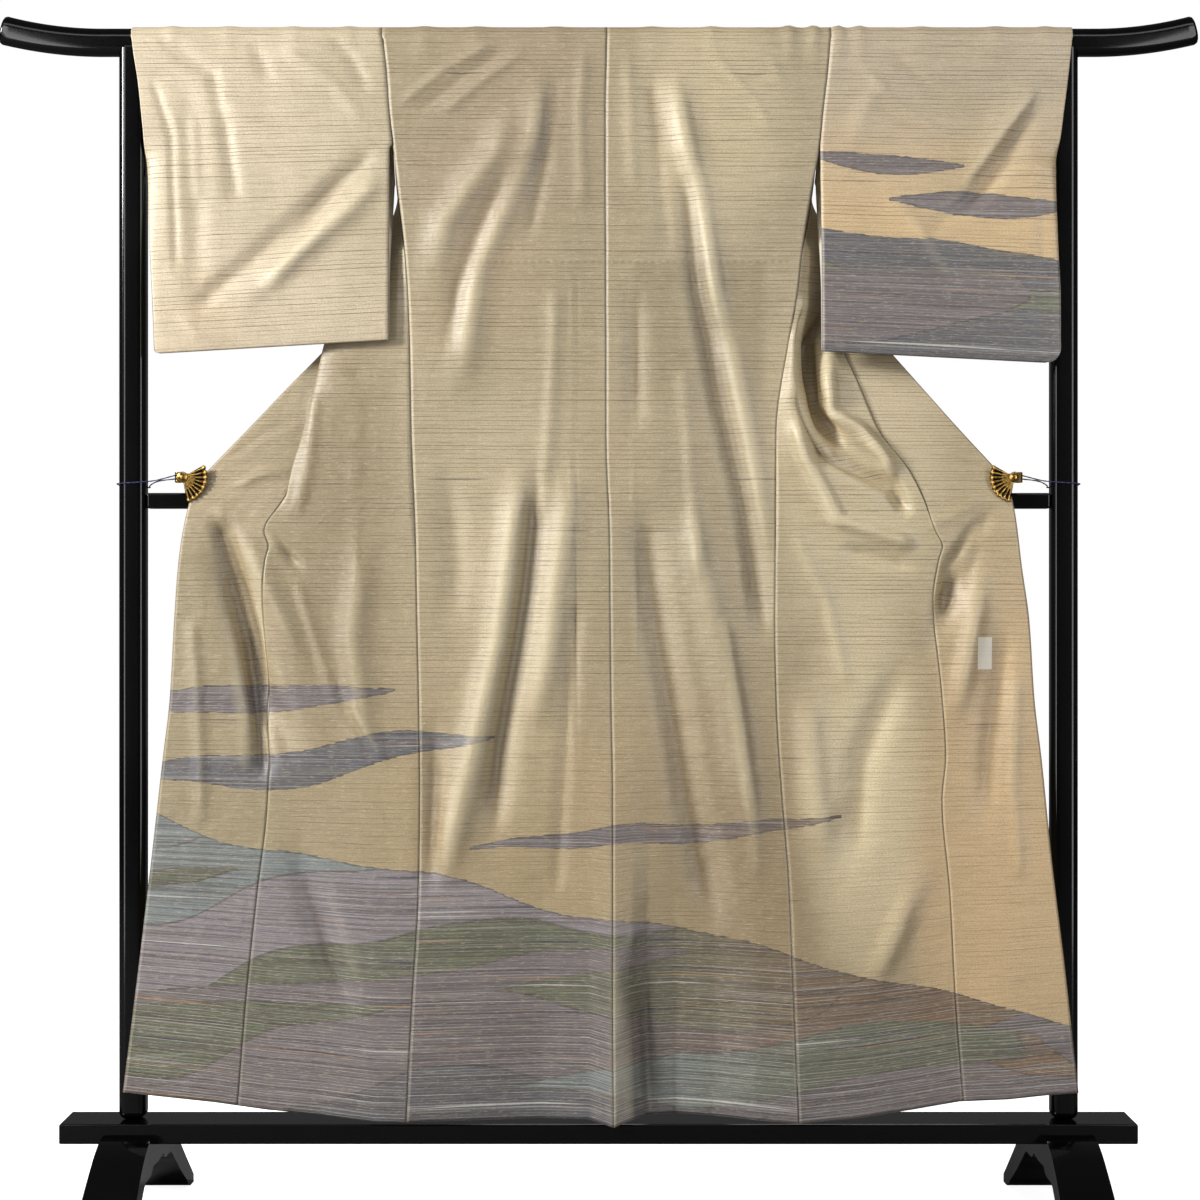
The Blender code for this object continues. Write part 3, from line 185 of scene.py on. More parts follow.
# --- tables, millimetres --------------------------------------------------------------------------
# How far the hanging cloth stands in front of the bar's middle.
HANG = Table(
    "drop lean",
    (14.5, 17.2), (30, 18.7), (150, 21), (300, 24.2), (600, 27.8), (900, 31), (1200, 33.5), (1500, 36),
)
# The back: its centre seam and its side seams. The armhole seam ends where the sleeve leaves the body.
BACK = Table(
    "drop centre left right",
    (0, 12, -305, 327), (56, 11, -298, 322.5), (112, 10, -294, 316), (170, 10, -288, 310),
    (220, 10, -282.5, 300.5), (311, 10.5, -272, 286), (379, 10.5, -267, 278), (444, 11, -264.5, 266),
    (568, 11, -262, 249), (720, 16, -256, 248), (830, 17, -254, 247), (944, 18, -251.5, 249),
    (1060, 20, -250, 256), (1187, 20, -251, 266.5), (1326, 20, -259, 272), (1500, 21, -268, 279),
)
# The far side of each armhole: the seam's place, and how far behind the hanging plane it lies.
FAR_EDGE = Table(
    "drop left right behind",
    (14.5, -304, 326.5, 34.4), (40, -300.5, 323.5, 37.8), (100, -295.5, 317.5, 42), (160, -291.5, 311.5, 47),
    (220, -287, 305, 48), (270, -279.5, 296, 33), (311, -272, 286, 0),
)
# The collar seam from the neck to the clip, then the okumi's own edge down to the hem.
EDGE = Table(
    "drop left left_behind right right_behind",
    (40, -78, 38, 100, 38), (100, -124, 54, 146, 54), (160, -169, 68, 191, 68), (220, -215, 83, 237, 83),
    (245, -234, 93, 256, 93), (270, -253, 104, 275.5, 104), (310, -283, 110, 306, 110), (370, -329, 90, 352, 92),
    (410, -359, 63, 382, 70), (445, -386, 34, 409, 34), (500, -437, 23, 455, 22), (568, -500, 14, 514, 14),
    (615, -544, 8, 556, 8), (634, -561, 5, 572, 5), (670, -575, 2, 582, 2), (757, -589, 0, 593, 0),
    (830, -594, 0, 603, 0), (940, -600, 0, 610, 0), (1026, -610, 0, 620, 0), (1176, -627, 0, 635, 0),
    (1320, -644, 0, 652, 0), (1500, -666, 0, 671, 0),
)
# The seam between front and okumi, from the okumi's point down.
OKUMI_SEAM = Table(
    "drop left left_behind right right_behind",
    (40, -78, 38, 100, 38), (100, -124, 54, 146, 54), (160, -169, 68, 191, 68), (220, -215, 83, 237, 83),
    (245, -234, 85, 256, 85), (270, -253, 84, 275.5, 84), (310, -275, 74, 293, 74), (370, -303, 56, 313, 62),
    (410, -319, 38, 330, 46), (445, -330, 22, 343, 22), (500, -350, 18, 367, 12), (568, -378, 13, 396, 7),
    (620, -412, 9, 435, 3), (665, -444, 3, 457, 0), (706, -468, 0, 472, 0), (727, -462, 0, 482, 0),
    (745, -466, 0, 477, 0), (800, -470, 0, 469, 0), (940, -464, 0, 481, 0), (1020, -461, 0, 486, 0),
    (1080, -463, 0, 481, 0), (1210, -478, 0, 492, 0), (1360, -494, 0, 500, 0), (1500, -505, 0, 511, 0),
)
# Three places across each front, between its side seam and its okumi seam: x, and how far behind the hanging
# plane. On the left they are the near side, the tip and the far side of the pleat that lies flat under the
# sleeve. On the right they are the ridge by the side seam, the deep trough beside it and the lobe after that.
FRONT_LEFT = Table(
    "drop a a_behind b b_behind c c_behind",
    (14.5, -250, 34.4, -200, 34.4, -145, 34.4), (40, -245, 38, -195, 39, -140, 38),
    (100, -260, 54, -225, 63, -175, 63), (160, -272, 66, -245, 83, -205, 83),
    (220, -285, 78, -272, 101, -243, 103), (270, -300, 62, -308, 93, -284, 101),
    (310, -312, 36, -333, 66, -318, 81), (370, -335, 23, -362, 40, -345, 58),
    (410, -352, 10, -374, 22, -357, 38), (445, -370, 2, -386, 9, -368, 18), (500, -384, 1, -398, 8, -382, 15),
    (568, -400, 0, -414.5, 5, -400, 10), (620, -417, 0, -430, 4, -422, 7), (665, -425, 0, -438, 1, -441.5, 2),
    (706, -425, 0, -445, 0, -457, 0),
)
FRONT_RIGHT = Table(
    "drop a a_behind b b_behind c c_behind",
    (14.5, 270, 34.4, 215, 34.4, 160, 34.4), (40, 270, 38, 215, 39, 160, 38), (100, 280, 54, 245, 63, 195, 63),
    (160, 292, 66, 265, 83, 225, 83), (220, 302, 78, 292, 100, 264, 103), (270, 318, 60, 328, 92, 306, 101),
    (310, 318, 29, 342, 64, 332, 80), (370, 292, 7, 325, 37, 337, 60), (410, 283, -1, 312, 40, 342, 40),
    (445, 273.5, -5, 298, 34, 328, 14), (480, 272, -8, 295, 30, 322, 4), (520, 278, -10, 300, 24, 319.5, 1),
    (557, 290, -10.5, 312, 17, 340, 1), (599, 315, -9, 350, 9, 400, 0), (640, 360, -4, 400, 2, 430, 0),
    (706, 400, 0, 430, 0, 452, 0),
)
FRONTS = {"left": FRONT_LEFT, "right": FRONT_RIGHT}
# Where the same three places lie on a front with no pleat, as shares from the side seam to the okumi seam.
PLAIN_SHARES = (0.36, 0.62, 0.82)
# The hem, left corner to right corner: its drop, and how far in front of the hanging plane it swings.
HEM = np.array((
    (-666, 1491, -6), (-613, 1497, -6), (-538, 1505, -6), (-463, 1515, -4), (-389, 1521, 0), (-313, 1529, 8),
    (-268, 1529.5, 10), (-156, 1526, 8), (-81, 1524.5, 4), (-13, 1525, 11), (21, 1534.4, 21), (45, 1527, 10),
    (69, 1524, -11), (107, 1523.5, -22), (163, 1525.5, -14), (219, 1527.5, 4), (279, 1531, 14), (366, 1524, 6),
    (442, 1515, -6), (505, 1504, -6), (573, 1500, -1), (629, 1494, -1), (671, 1491, -1),
)) / 1000
HEM_REACH = 0.60  # how far up the cloth the hem's swing fades out

# Main folds of the hanging cloth, which the solids have too.
FOLDS = routes(
    (22, 10.1, -107, 85, -145, 176, -183, 224, -216, 273, -238, 380),
    (20, 8.7, -80, 45, -92, 150, -138, 255, -172, 337, -194, 525),
    (14, -5.8, -100, 160, -158, 270, -198, 370, -215, 470),
    (22, 11.6, -100, 600, -117, 690, -138, 858, -180, 1026, -222, 1200),
    (20, -5.8, -215, 600, -200, 750, -206, 860), (20, 8.7, -40, 600, -47, 690, -68, 858, -92, 1000),
    (16, -10.1, -84, 600, -100, 780, -135, 1000, -150, 1150), (14, -8.7, -232, 950, -232, 1054, -236, 1220),
    (16, 11.6, 98, 40, 136.5, 224, 155, 337, 177, 449),
    (16, -11.6, 120, 160, 142, 368, 170, 522, 205, 662, 234, 886), (18, 7.2, 175, 400, 212, 578, 232, 750),
    (14, -5.8, 50, 330, 52, 600), (22, -13, 60, 650, 70, 746, 88, 858, 128, 1082, 165, 1264),
    (22, 10.1, 125, 640, 142, 746, 184, 942, 222, 1150), (18, -7.2, 45, 1250, 62, 1400, 75, 1530),
    (21, -15, -538, 700, -524, 762, -471, 925, -418, 1040), (16, 7.2, -505, 690, -455, 800, -400, 920),
    (18, -8.7, -432, 1124, -376, 1290, -334, 1376), (20, 7.2, -330, 700, -345, 860, -320, 1040),
    (14, -13, 545, 700, 516, 756, 486, 815, 460, 880), (22, -8.7, 440, 860, 366, 1026, 352, 1190),
    (16, 10.1, 541, 746, 520, 860, 496, 990), (16, -7.2, 575, 800, 548, 1010, 541, 1140),
    (18, 7.2, 464, 1150, 415, 1260, 366, 1360), (20, 8.7, 290, 900, 300, 1050, 320, 1180),
)
FOLD_TAPER = 0.10  # a fold fades in and out over this length at its ends
CLIP_CALM = 0.06  # cloth this near a clip lies flat in it

# Each sleeve: its outer edge near and far, its inner edge near and far, how far each layer lies in front of
# the bar's middle, and that of the middle of its sewn outer edge.
SLEEVE_LEFT = Table(
    "drop outer outer_far inner inner_far near far edge",
    (0, -657.5, -657.5, -305.5, -305.5, 17.2, -17.2, 0), (30, -654, -654, -301.5, -301.5, 18.7, -18.7, 0),
    (74, -647, -647, -297, -298, 19.8, -19, 0), (120, -642, -642, -293.5, -294.5, 20.8, -18.5, 0),
    (150, -639, -636, -293, -292.5, 21.8, -18.2, 0), (170, -637.5, -635.5, -293, -291, 22.8, -16.5, 2),
    (200, -634.5, -634.5, -293, -288.5, 24.8, -10, 10), (260, -632, -632, -293, -290, 28, 3, 18),
    (310, -628.5, -628.5, -293, -292, 32, 16, 26), (375, -624, -624, -293, -293, 37, 26, 33),
    (460, -620, -620, -292.5, -292.5, 40, 32, 36),
)
SLEEVE_RIGHT = Table(
    "drop outer outer_far inner inner_far near far edge",
    (0, 667, 667, 327.5, 327.5, 17.2, -17.2, 0), (30, 664, 664, 325, 325, 18.7, -18.7, 0),
    (74, 659, 659, 320.5, 321, 19.8, -19, 0), (120, 653, 650, 316, 316.5, 20.8, -18.8, 0),
    (150, 649, 636, 312.5, 313, 22.4, -18.4, 0), (170, 645, 634.5, 311, 311, 23.8, -16.5, 4),
    (200, 641, 634.5, 311, 307, 26, -10, 23.5), (209, 641, 634.7, 311, 307.5, 26, -9, 24),
    (225, 641.2, 641.2, 311.2, 308, 27, -6, 25), (260, 642, 642, 311.5, 308.5, 29, 3, 27),
    (310, 643, 643, 312, 310.5, 32.5, 16, 31), (375, 645.5, 645.5, 312, 312, 37, 26, 34),
    (460, 645.5, 645.5, 312, 312, 40, 32, 36),
)
SLEEVES = {"left": SLEEVE_LEFT, "right": SLEEVE_RIGHT}
SLEEVE_EDGE_HALF = 0.0025  # half the thickness of a sleeve at its sewn edges
SLEEVE_CLOSING = 0.045  # the layers come together over this width before a sewn edge
SLEEVE_BOTTOM = {"left": (0.438, 0.457, 0.006), "right": (0.454, 0.470, 0.020)}  # inner drop, outer, corner


# --- where the points of each piece lie -----------------------------------------------------------
TOP_DROP = 0.0145  # where the cloth leaves the bar, on both sides of it
NEAR_DROPS = tuple(np.append(np.arange(HEM_DROP, 0.019, -CLOTH_STEP), TOP_DROP))
BAR_ANGLES = tuple(range(168, 0, -12))  # round the bar's crest, near to far
FAR_DROPS = tuple(np.append(TOP_DROP, np.arange(0.020, HEM_DROP + 0.001, CLOTH_STEP)))
NECK = Table("drop half_width", (0, 0), (14.5, 44), (26, 71), (40, 89))
OKUMI_DROPS = tuple(np.arange(0.255, HEM_DROP + 0.001, CLOTH_STEP))
OKUMI_BEHIND = 0.0030  # the okumi's seam edge lies this far behind the front where the front is pleated
SLEEVE_TOP = 0.0322  # the topmost row's share of the sleeve's length
SLEEVE_CROWDING = 1.3  # rows crowd towards the bottom, columns towards the outer edge
SLEEVE_SHARES = tuple(
    1 - (1 - SLEEVE_TOP) * (k / SLEEVE_ROWS) ** SLEEVE_CROWDING for k in range(SLEEVE_ROWS + 1)
)
ARMHOLE_END, ARMHOLE_END_FAR = 0.165, 0.215  # where the sleeve leaves the body, near side and far side
CUFF_SHARE = 0.43  # layers are sewn together along the outer edge below this share of the sleeve's length
SLEEVE_FOLDS = routes(
    (14, 4, -313, 200, -420, 315, -520, 410), (14, -4, -330, 170, -400, 260, -450, 330),
    (16, -4, -580, 60, -566, 200, -560, 400), (18, 4, -600, 40, -520, 110, -430, 150),
    (14, 4, 420, 40, 370, 120, 345, 200), (16, 5, 640, 40, 570, 130, 500, 220),
    (14, -5, 640, 80, 560, 190, 480, 300), (14, 4, 380, 190, 450, 290, 520, 400),
)
COLLAR_EDGE_DROPS = tuple(np.arange(0.632, 0.050, -0.008))
NECK_DROPS = (0.044, 0.037, 0.030, 0.024, 0.019, 0.0145, 0.011, 0.008, 0.0058)
COLLAR_WIDTH = 0.055
COLLAR_TIP_WIDTH = 0.072
# Shares across the band. The over-collar leaves out the first and the last of them.
COLLAR_SHARES = (0.0, 0.03, 0.06, 0.15, 0.25, 0.35, 0.45, 0.55, 0.65, 0.75, 0.85, 0.94, 0.97, 1.0)
COLLAR_INSET = 0.0015  # the band starts this far in from its seam line
COLLAR_LOOK = 0.005  # the band clears whatever the okumi does within this distance
COLLAR_OFF_OKUMI = 0.0034
COLLAR_TOP_DROP = 0.004
NECK_BEHIND = 0.0405
OVER_COLLAR_DROP = 0.400  # the over-collar's ends, measured down each front
FRONT_SEAM_DROP = 0.040  # the okumi seam's own table begins here
NECK_STEP = 0.0036  # the neck edge lies this far nearer than the front seam's top
FAR_CALM = (0.26, 0.36)  # the back's folds fade out of the fronts above these drops
PLEAT_OUT = (0.66, 0.76)  # the fronts' own sections turn into the plain front between these drops
OKUMI_STEP_OUT = (0.62, 0.70)
COLLAR_FLARE = (0.20, 0.63)  # the band widens between these drops
COLLAR_ON_OKUMI = (0.24, 0.34)  # the band comes to lie on the okumi between these drops
CUFF_BLEND = 0.045
HEM_PROBE, COLLAR_PROBE, OVER_COLLAR_PROBE = 20, 30, 10  # rows where a shell's outer side is known
COLLAR_SHELL = COLLAR_WALL * 0.85
BEAM_ROUND, MID_BAR_ROUND = (0.0025, 4), (0.004, 5)  # width of the rounded edges, and steps in them
POST_ROUND, FOOT_ROUND = (0.011, 10), (0.003, 4)


# --- where the hanging cloth lies -----------------------------------------------------------------
def route_sum(listed, taper, x, drop):
    """Height of the listed folds towards the viewer at each point. Each fades at its ends over the taper."""
    x, drop = np.broadcast_arrays(np.asarray(x, float), np.asarray(drop, float))
    total = np.zeros(x.shape)
    for half_width, height, points in listed:
        steps = np.hypot(*np.diff(points, axis=0).T)
        nearest, along, before = np.full(x.shape, np.inf), np.zeros(x.shape), 0.0
        for (x0, d0), (x1, d1), step in zip(points[:-1], points[1:], steps):
            share = np.clip(((x - x0) * (x1 - x0) + (drop - d0) * (d1 - d0)) / step**2, 0, 1)
            gap = np.hypot(x - x0 - share * (x1 - x0), drop - d0 - share * (d1 - d0))
            closer = gap < nearest
            nearest, along = np.where(closer, gap, nearest), np.where(closer, before + share * step, along)
            before += step
        ends = smooth(0, taper, along) * smooth(0, taper, steps.sum() - along)
        total += height * np.exp(-((nearest / half_width) ** 2)) * ends
    return total


def fold_height(x, drop):
    """Height of the main folds, which fade out near the clips."""
    total = route_sum(FOLDS, FOLD_TAPER, x, drop)
    for side in (-1, 1):
        from_clip = np.hypot(x - side * CLIP_X, drop - CLIP_DROP)
        total = total * smooth(0.4 * CLIP_CALM, 1.6 * CLIP_CALM, from_clip)
    return total


def true_drop(x, drop):
    """The drop after the hem's own line is taken up over the lowest stretch."""
    hem = np.interp(x, HEM[:, 0], HEM[:, 1])
    return drop + (hem - HEM_DROP) * smooth(HEM_DROP - HEM_REACH, HEM_DROP, drop)


def hanging_y(x, drop, behind=0.0):
    """Y of cloth that lies this far behind the hanging plane. Folds show on it below the armholes."""
    swing = np.interp(x, HEM[:, 0], HEM[:, 2]) * smooth(HEM_DROP - HEM_REACH, HEM_DROP, drop)
    return behind - HANG.at("lean", drop) - swing - fold_height(x, drop)


def front_y(x, drop, behind):
    """As hanging_y, but without the back's folds on the far side of the bar."""
    lean = HANG.at("lean", drop)
    return behind - lean + smooth(*FAR_CALM, drop) * (hanging_y(x, drop) + lean)


def bar_section(angle, grow):
    """Y and Z on the bar's rounded section, made larger by grow: 180 degrees is near, 90 the crest, 0 far."""
    c, s = math.cos(math.radians(angle)), math.sin(math.radians(angle))
    power = 2 / BAR_SQUARENESS
    return (
        math.copysign(abs(c) ** power, c) * (BAR_HALF_DEPTH + grow),
        math.copysign(abs(s) ** power, s) * (BAR_HALF_HEIGHT + grow),
    )


def over_bar(angle):
    """Y and Z of cloth that lies on the bar."""
    y, up = bar_section(angle, CLOTH_OFF_BAR)
    return y, BAR_Z + up


def curve_through(points, counts):
    """A centripetal Catmull-Rom curve through the points, with this many steps between each pair."""
    points = [np.array(p, float) for p in points]
    ends = [2 * points[0] - points[1], *points, 2 * points[-1] - points[-2]]
    found = [points[0]]
    for i, count in enumerate(counts):
        p0, p1, p2, p3 = ends[i : i + 4]
        t1 = max(np.linalg.norm(p1 - p0), 1e-6) ** 0.5
        t2 = t1 + max(np.linalg.norm(p2 - p1), 1e-6) ** 0.5
        t3 = t2 + max(np.linalg.norm(p3 - p2), 1e-6) ** 0.5
        for k in range(1, count + 1):
            t = t1 + (t2 - t1) * k / count
            a1 = (t1 - t) / t1 * p0 + t / t1 * p1
            a2 = (t2 - t) / (t2 - t1) * p1 + (t - t1) / (t2 - t1) * p2
            a3 = (t3 - t) / (t3 - t2) * p2 + (t - t2) / (t3 - t2) * p3
            b1 = (t2 - t) / t2 * a1 + t / t2 * a2
            b2 = (t3 - t) / (t3 - t1) * a2 + (t - t1) / (t3 - t1) * a3
            found.append((t2 - t) / (t2 - t1) * b1 + (t - t1) / (t2 - t1) * b2)
    return found


# --- pieces of the kimono -------------------------------------------------------------------------
def neck_x(side, drop):
    """Inner edge of the body beyond the crest, down to where the fronts begin."""
    sign = SIGN[side]
    centre = BACK.columns["centre"][0]
    return centre + sign * NECK.at("half_width", drop)


def body_rows(side):
    """Rows of points from the back hem, up over the bar and down to the front hem."""
    sign = SIGN[side]
    rows = []
    for drop in NEAR_DROPS:
        centre = BACK.at("centre", drop) + sign * SEAM_GAP / 2
        outer = BACK.at(side, drop) - sign * SEAM_GAP / 2
        x = np.linspace(centre, outer, BODY_COLUMNS)
        y = hanging_y(x, drop)
        rows.append(np.stack([x, y, HANG_Z - true_drop(x, drop)], axis=1))
    for angle in BAR_ANGLES:
        y, z = over_bar(angle)
        inner = BACK.columns["centre"][0] + sign * SEAM_GAP / 2
        outer = BACK.columns[side][0] - sign * SEAM_GAP / 2
        x = np.linspace(inner, outer, BODY_COLUMNS)
        rows.append(np.stack([x, np.full_like(x, y), np.full_like(x, z)], axis=1))
    for drop in FAR_DROPS:
        rows.append(front_section(side, drop))
    return rows


def front_section(side, drop):
    """One row of a front, from its inner edge or okumi seam to its side edge."""
    sign = SIGN[side]
    places = FRONTS[side]
    if drop < FAR_EDGE.drop[-1]:
        edge = (FAR_EDGE.at(side, drop) - sign * SEAM_GAP / 2, FAR_EDGE.at("behind", drop))
    else:
        edge = (BACK.at(side, drop) + sign * SEAM_GAP / 2, 0.0)
    if drop < FRONT_SEAM_DROP:
        seam_behind = OKUMI_SEAM.at(side + "_behind", FRONT_SEAM_DROP)
        seam = (neck_x(side, drop), seam_behind - NECK_STEP * (drop < 0.03))
    else:
        x, seam_behind = OKUMI_SEAM.edge(side, drop)
        seam = (x - sign * SEAM_GAP / 2, seam_behind)
    plain = smooth(*PLEAT_OUT, drop)
    points = [edge]
    for name, share in zip("abc", PLAIN_SHARES):
        x = (1 - plain) * places.at(name, drop) + plain * (edge[0] + share * (seam[0] - edge[0]))
        behind = (1 - plain) * places.at(name + "_behind", drop)
        points.append((x, behind))
    points.append(seam)
    section = np.array(curve_through(points, FRONT_COLUMNS))[::-1]
    x = section[:, 0]
    y = front_y(x, drop, section[:, 1])
    return np.stack([x, y, HANG_Z - true_drop(x, drop)], axis=1)


def okumi_point(side, drop, share):
    """x and distance behind the hanging plane, from the okumi seam (share 0) to the outer edge (share 1)."""
    sign = SIGN[side]
    step_back = OKUMI_BEHIND * (1 - smooth(*OKUMI_STEP_OUT, drop))
    (seam, seam_behind), (end, end_behind) = OKUMI_SEAM.edge(side, drop), EDGE.edge(side, drop)
    start = seam + sign * SEAM_GAP / 2
    start_behind, end_behind = seam_behind + step_back, end_behind + step_back
    return start + share * (end - start), start_behind + share * (end_behind - start_behind)


def okumi_rows(side):
    rows = []
    for drop in OKUMI_DROPS:
        points = [okumi_point(side, drop, k / (OKUMI_COLUMNS - 1)) for k in range(OKUMI_COLUMNS)]
        x, behind = np.array(points).T
        rows.append(np.stack([x, front_y(x, drop, behind), HANG_Z - true_drop(x, drop)], axis=1))
    return rows


def sleeve_point(side, share, across, layer):
    """A point of a sleeve: share of its length, share across from its inner edge, and near or far layer."""
    table = SLEEVES[side]
    inner_bottom, outer_bottom, corner = SLEEVE_BOTTOM[side]
    bottom = inner_bottom + (outer_bottom - inner_bottom) * across
    drop = share * bottom
    sign = SIGN[side]
    far = "_far" if layer == "far" else ""
    seam, seam_end = (BACK, ARMHOLE_END) if layer == "near" else (FAR_EDGE, ARMHOLE_END_FAR)
    if drop < seam_end:
        inner = seam.at(side, drop) + sign * SEAM_GAP / 2
    else:
        inner = table.at("inner" + far, drop)
    outer = table.at("outer" + far, drop)
    into_corner = max(0.0, drop - (bottom - corner))
    outer -= sign * (corner - math.sqrt(max(corner**2 - into_corner**2, 0.0)))
    x = inner + (outer - inner) * across
    near_y, far_y = -table.at("near", drop), -table.at("far", drop)
    middle, half = (near_y + far_y) / 2, (far_y - near_y) / 2
    to_bottom = (bottom - drop) / SLEEVE_CLOSING
    closing = math.sqrt(1 - (1 - min(to_bottom, 1)) ** 2)
    half = SLEEVE_EDGE_HALF + (half - SLEEVE_EDGE_HALF) * closing
    sewn = smooth(CUFF_END - CUFF_BLEND, CUFF_END, drop)
    to_outer = abs(outer - x) / SLEEVE_CLOSING
    edge_closing = math.sqrt(1 - (1 - min(to_outer, 1)) ** 2)
    edge_middle = -table.at("edge", drop)
    near_edge = 1 - min(to_outer / 3, 1)
    middle += sewn * near_edge**2 * (edge_middle - middle)
    half *= 1 - sewn * (1 - edge_closing) * (1 - SLEEVE_EDGE_HALF / half)
    y = middle + (half if layer == "far" else -half)
    if layer == "near":
        y -= route_sum(SLEEVE_FOLDS, FOLD_TAPER, x, drop) * closing
    return x, y, HANG_Z - drop


def sleeve_mesh(side):
    """Points and faces: a loop round the cloth, near layer up and far layer down, for each place across."""
    sign = SIGN[side]
    across = 1 - (1 - np.linspace(0, 1, SLEEVE_COLUMNS)) ** SLEEVE_CROWDING
    rows = []
    for share in SLEEVE_SHARES:
        rows.append([sleeve_point(side, share, a, "near") for a in across])
    table = SLEEVES[side]
    for angle in BAR_ANGLES:
        y, z = over_bar(angle)
        inner = BACK.columns[side][0] + sign * SEAM_GAP / 2
        outer = table.columns["outer"][0]
        rows.append([(inner + (outer - inner) * a, y, z) for a in across])
    for share in reversed(SLEEVE_SHARES):
        rows.append([sleeve_point(side, share, a, "far") for a in across])
    count, width = len(rows), len(across)
    faces = quads(count, width, round_rows=True)
    last = width - 1
    for i, share in enumerate(SLEEVE_SHARES[1:]):
        if share <= CUFF_SHARE:
            break
        near_low, near_high = i * width + last, (i + 1) * width + last
        far_low, far_high = (count - 1 - i) * width + last, (count - 2 - i) * width + last
        faces.append((near_low, near_high, far_high, far_low))
    return [tuple(map(float, p)) for row in rows for p in row], faces


def collar_seam():
    """The line that the collar is sewn along, left tip to right tip: x, drop and distance behind."""
    centre = BACK.columns["centre"][0]
    left, right = [], []
    for drop in COLLAR_EDGE_DROPS:
        for side, found in (("left", left), ("right", right)):
            x, behind = EDGE.edge(side, drop)
            found.append((x, drop, behind))
    for drop in NECK_DROPS:
        reach = NECK.at("half_width", drop)
        left.append((centre - reach, drop, NECK_BEHIND))
        right.append((centre + reach, drop, NECK_BEHIND))
    middle = [(centre, COLLAR_TOP_DROP, NECK_BEHIND)]
    return left + middle + right[::-1]


def okumi_behind(side, x, drop):
    """How far behind the hanging plane the okumi lies at this place, or its nearer edge beyond it."""
    if drop < OKUMI_DROPS[0]:
        return float(EDGE.at(side + "_behind", max(drop, FRONT_SEAM_DROP)))
    start, start_behind = okumi_point(side, drop, 0)
    end, end_behind = okumi_point(side, drop, 1)
    share = min(max((x - start) / (end - start), 0), 1)
    return start_behind + share * (end_behind - start_behind)


def okumi_top(side, x, drop):
    """The furthest behind that the okumi comes anywhere close to this place."""
    return max(
        okumi_behind(side, x + dx, drop + dd)
        for dx in (-COLLAR_LOOK, 0, COLLAR_LOOK)
        for dd in (-COLLAR_LOOK, 0, COLLAR_LOOK)
    )


def collar_rows():
    """The middle of the collar band, row by row along its seam line, left tip to right tip."""
    seam = collar_seam()
    tangents = np.gradient(np.array([(x, drop) for x, drop, _ in seam]), axis=0)
    rows = []
    for (x, drop, behind), (tx, td) in zip(seam, tangents):
        inward = np.array((-td, tx)) / math.hypot(tx, td)
        width = COLLAR_WIDTH + (COLLAR_TIP_WIDTH - COLLAR_WIDTH) * smooth(*COLLAR_FLARE, drop)
        side = "left" if x < BACK.columns["centre"][0] else "right"
        blend = smooth(*COLLAR_ON_OKUMI, drop)
        row = []
        for share in COLLAR_SHARES:
            reach = COLLAR_INSET + (width - COLLAR_INSET) * share
            px, pd = x + inward[0] * reach, drop + inward[1] * reach
            back = behind
            if blend > 0:
                back += blend * (okumi_top(side, px, pd) - behind)
            row.append((px, front_y(px, pd, back + COLLAR_OFF_OKUMI), HANG_Z - pd))
        rows.append(row)
    return np.array(rows)


def over_collar_rows(grid):
    """The over-collar: the band's middle part moved out along its own normals."""
    normal = normals_of(grid)
    normal *= np.sign(normal[..., 1].sum())
    lift = COLLAR_WALL / 2 + LAYER_GAP + OVER_COLLAR_WALL / 2
    covered = [drop <= OVER_COLLAR_DROP for _, drop, _ in collar_seam()]
    return (grid + lift * normal)[covered, 2:-2]


def clip_pivot(side):
    sign = SIGN[side]
    return sign * (CLIP_X + CLIP_PIVOT_OUT), HANG_Z - CLIP_DROP + CLIP_PIVOT_UP


def cloth_at(side, x, z):
    """Front and back faces of whatever cloth is at this place near the clip, or None past its edge."""
    drop = HANG_Z - z
    if abs(x) > abs(EDGE.at(side, drop)) + EDGE_SLACK:
        return None
    near, far = (front_y(x, drop, behind(side, x, drop)) for behind in (okumi_behind, okumi_top))
    return near - WALL / 2, far + COLLAR_OFF_OKUMI + COLLAR_WALL / 2


def leaf_turn(side, share):
    return math.radians(LEAF_START[side] + LEAF_SPAN * share)


def clip_faces(side):
    """Y of the leaf's back and of the jaw's front: each just clears the cloth under it."""
    pivot_x, pivot_z = clip_pivot(side)
    sign = SIGN[side]
    leaf, jaw = [], []
    for share in np.linspace(0, 1, 12):
        turn = leaf_turn(side, share)
        for radius in np.linspace(CLIP_HUB, CLIP_RADIUS, 7):
            leaf.append(cloth_at(side, pivot_x + radius * math.cos(turn), pivot_z + radius * math.sin(turn)))
    for reach in np.linspace(-JAW_BACK, JAW_REACH, 8):
        for up in (-JAW_HALF_WIDTH, 0, JAW_HALF_WIDTH):
            jaw.append(cloth_at(side, pivot_x - sign * reach, pivot_z + up))
    return min(face[0] for face in leaf if face), max(face[1] for face in jaw if face)


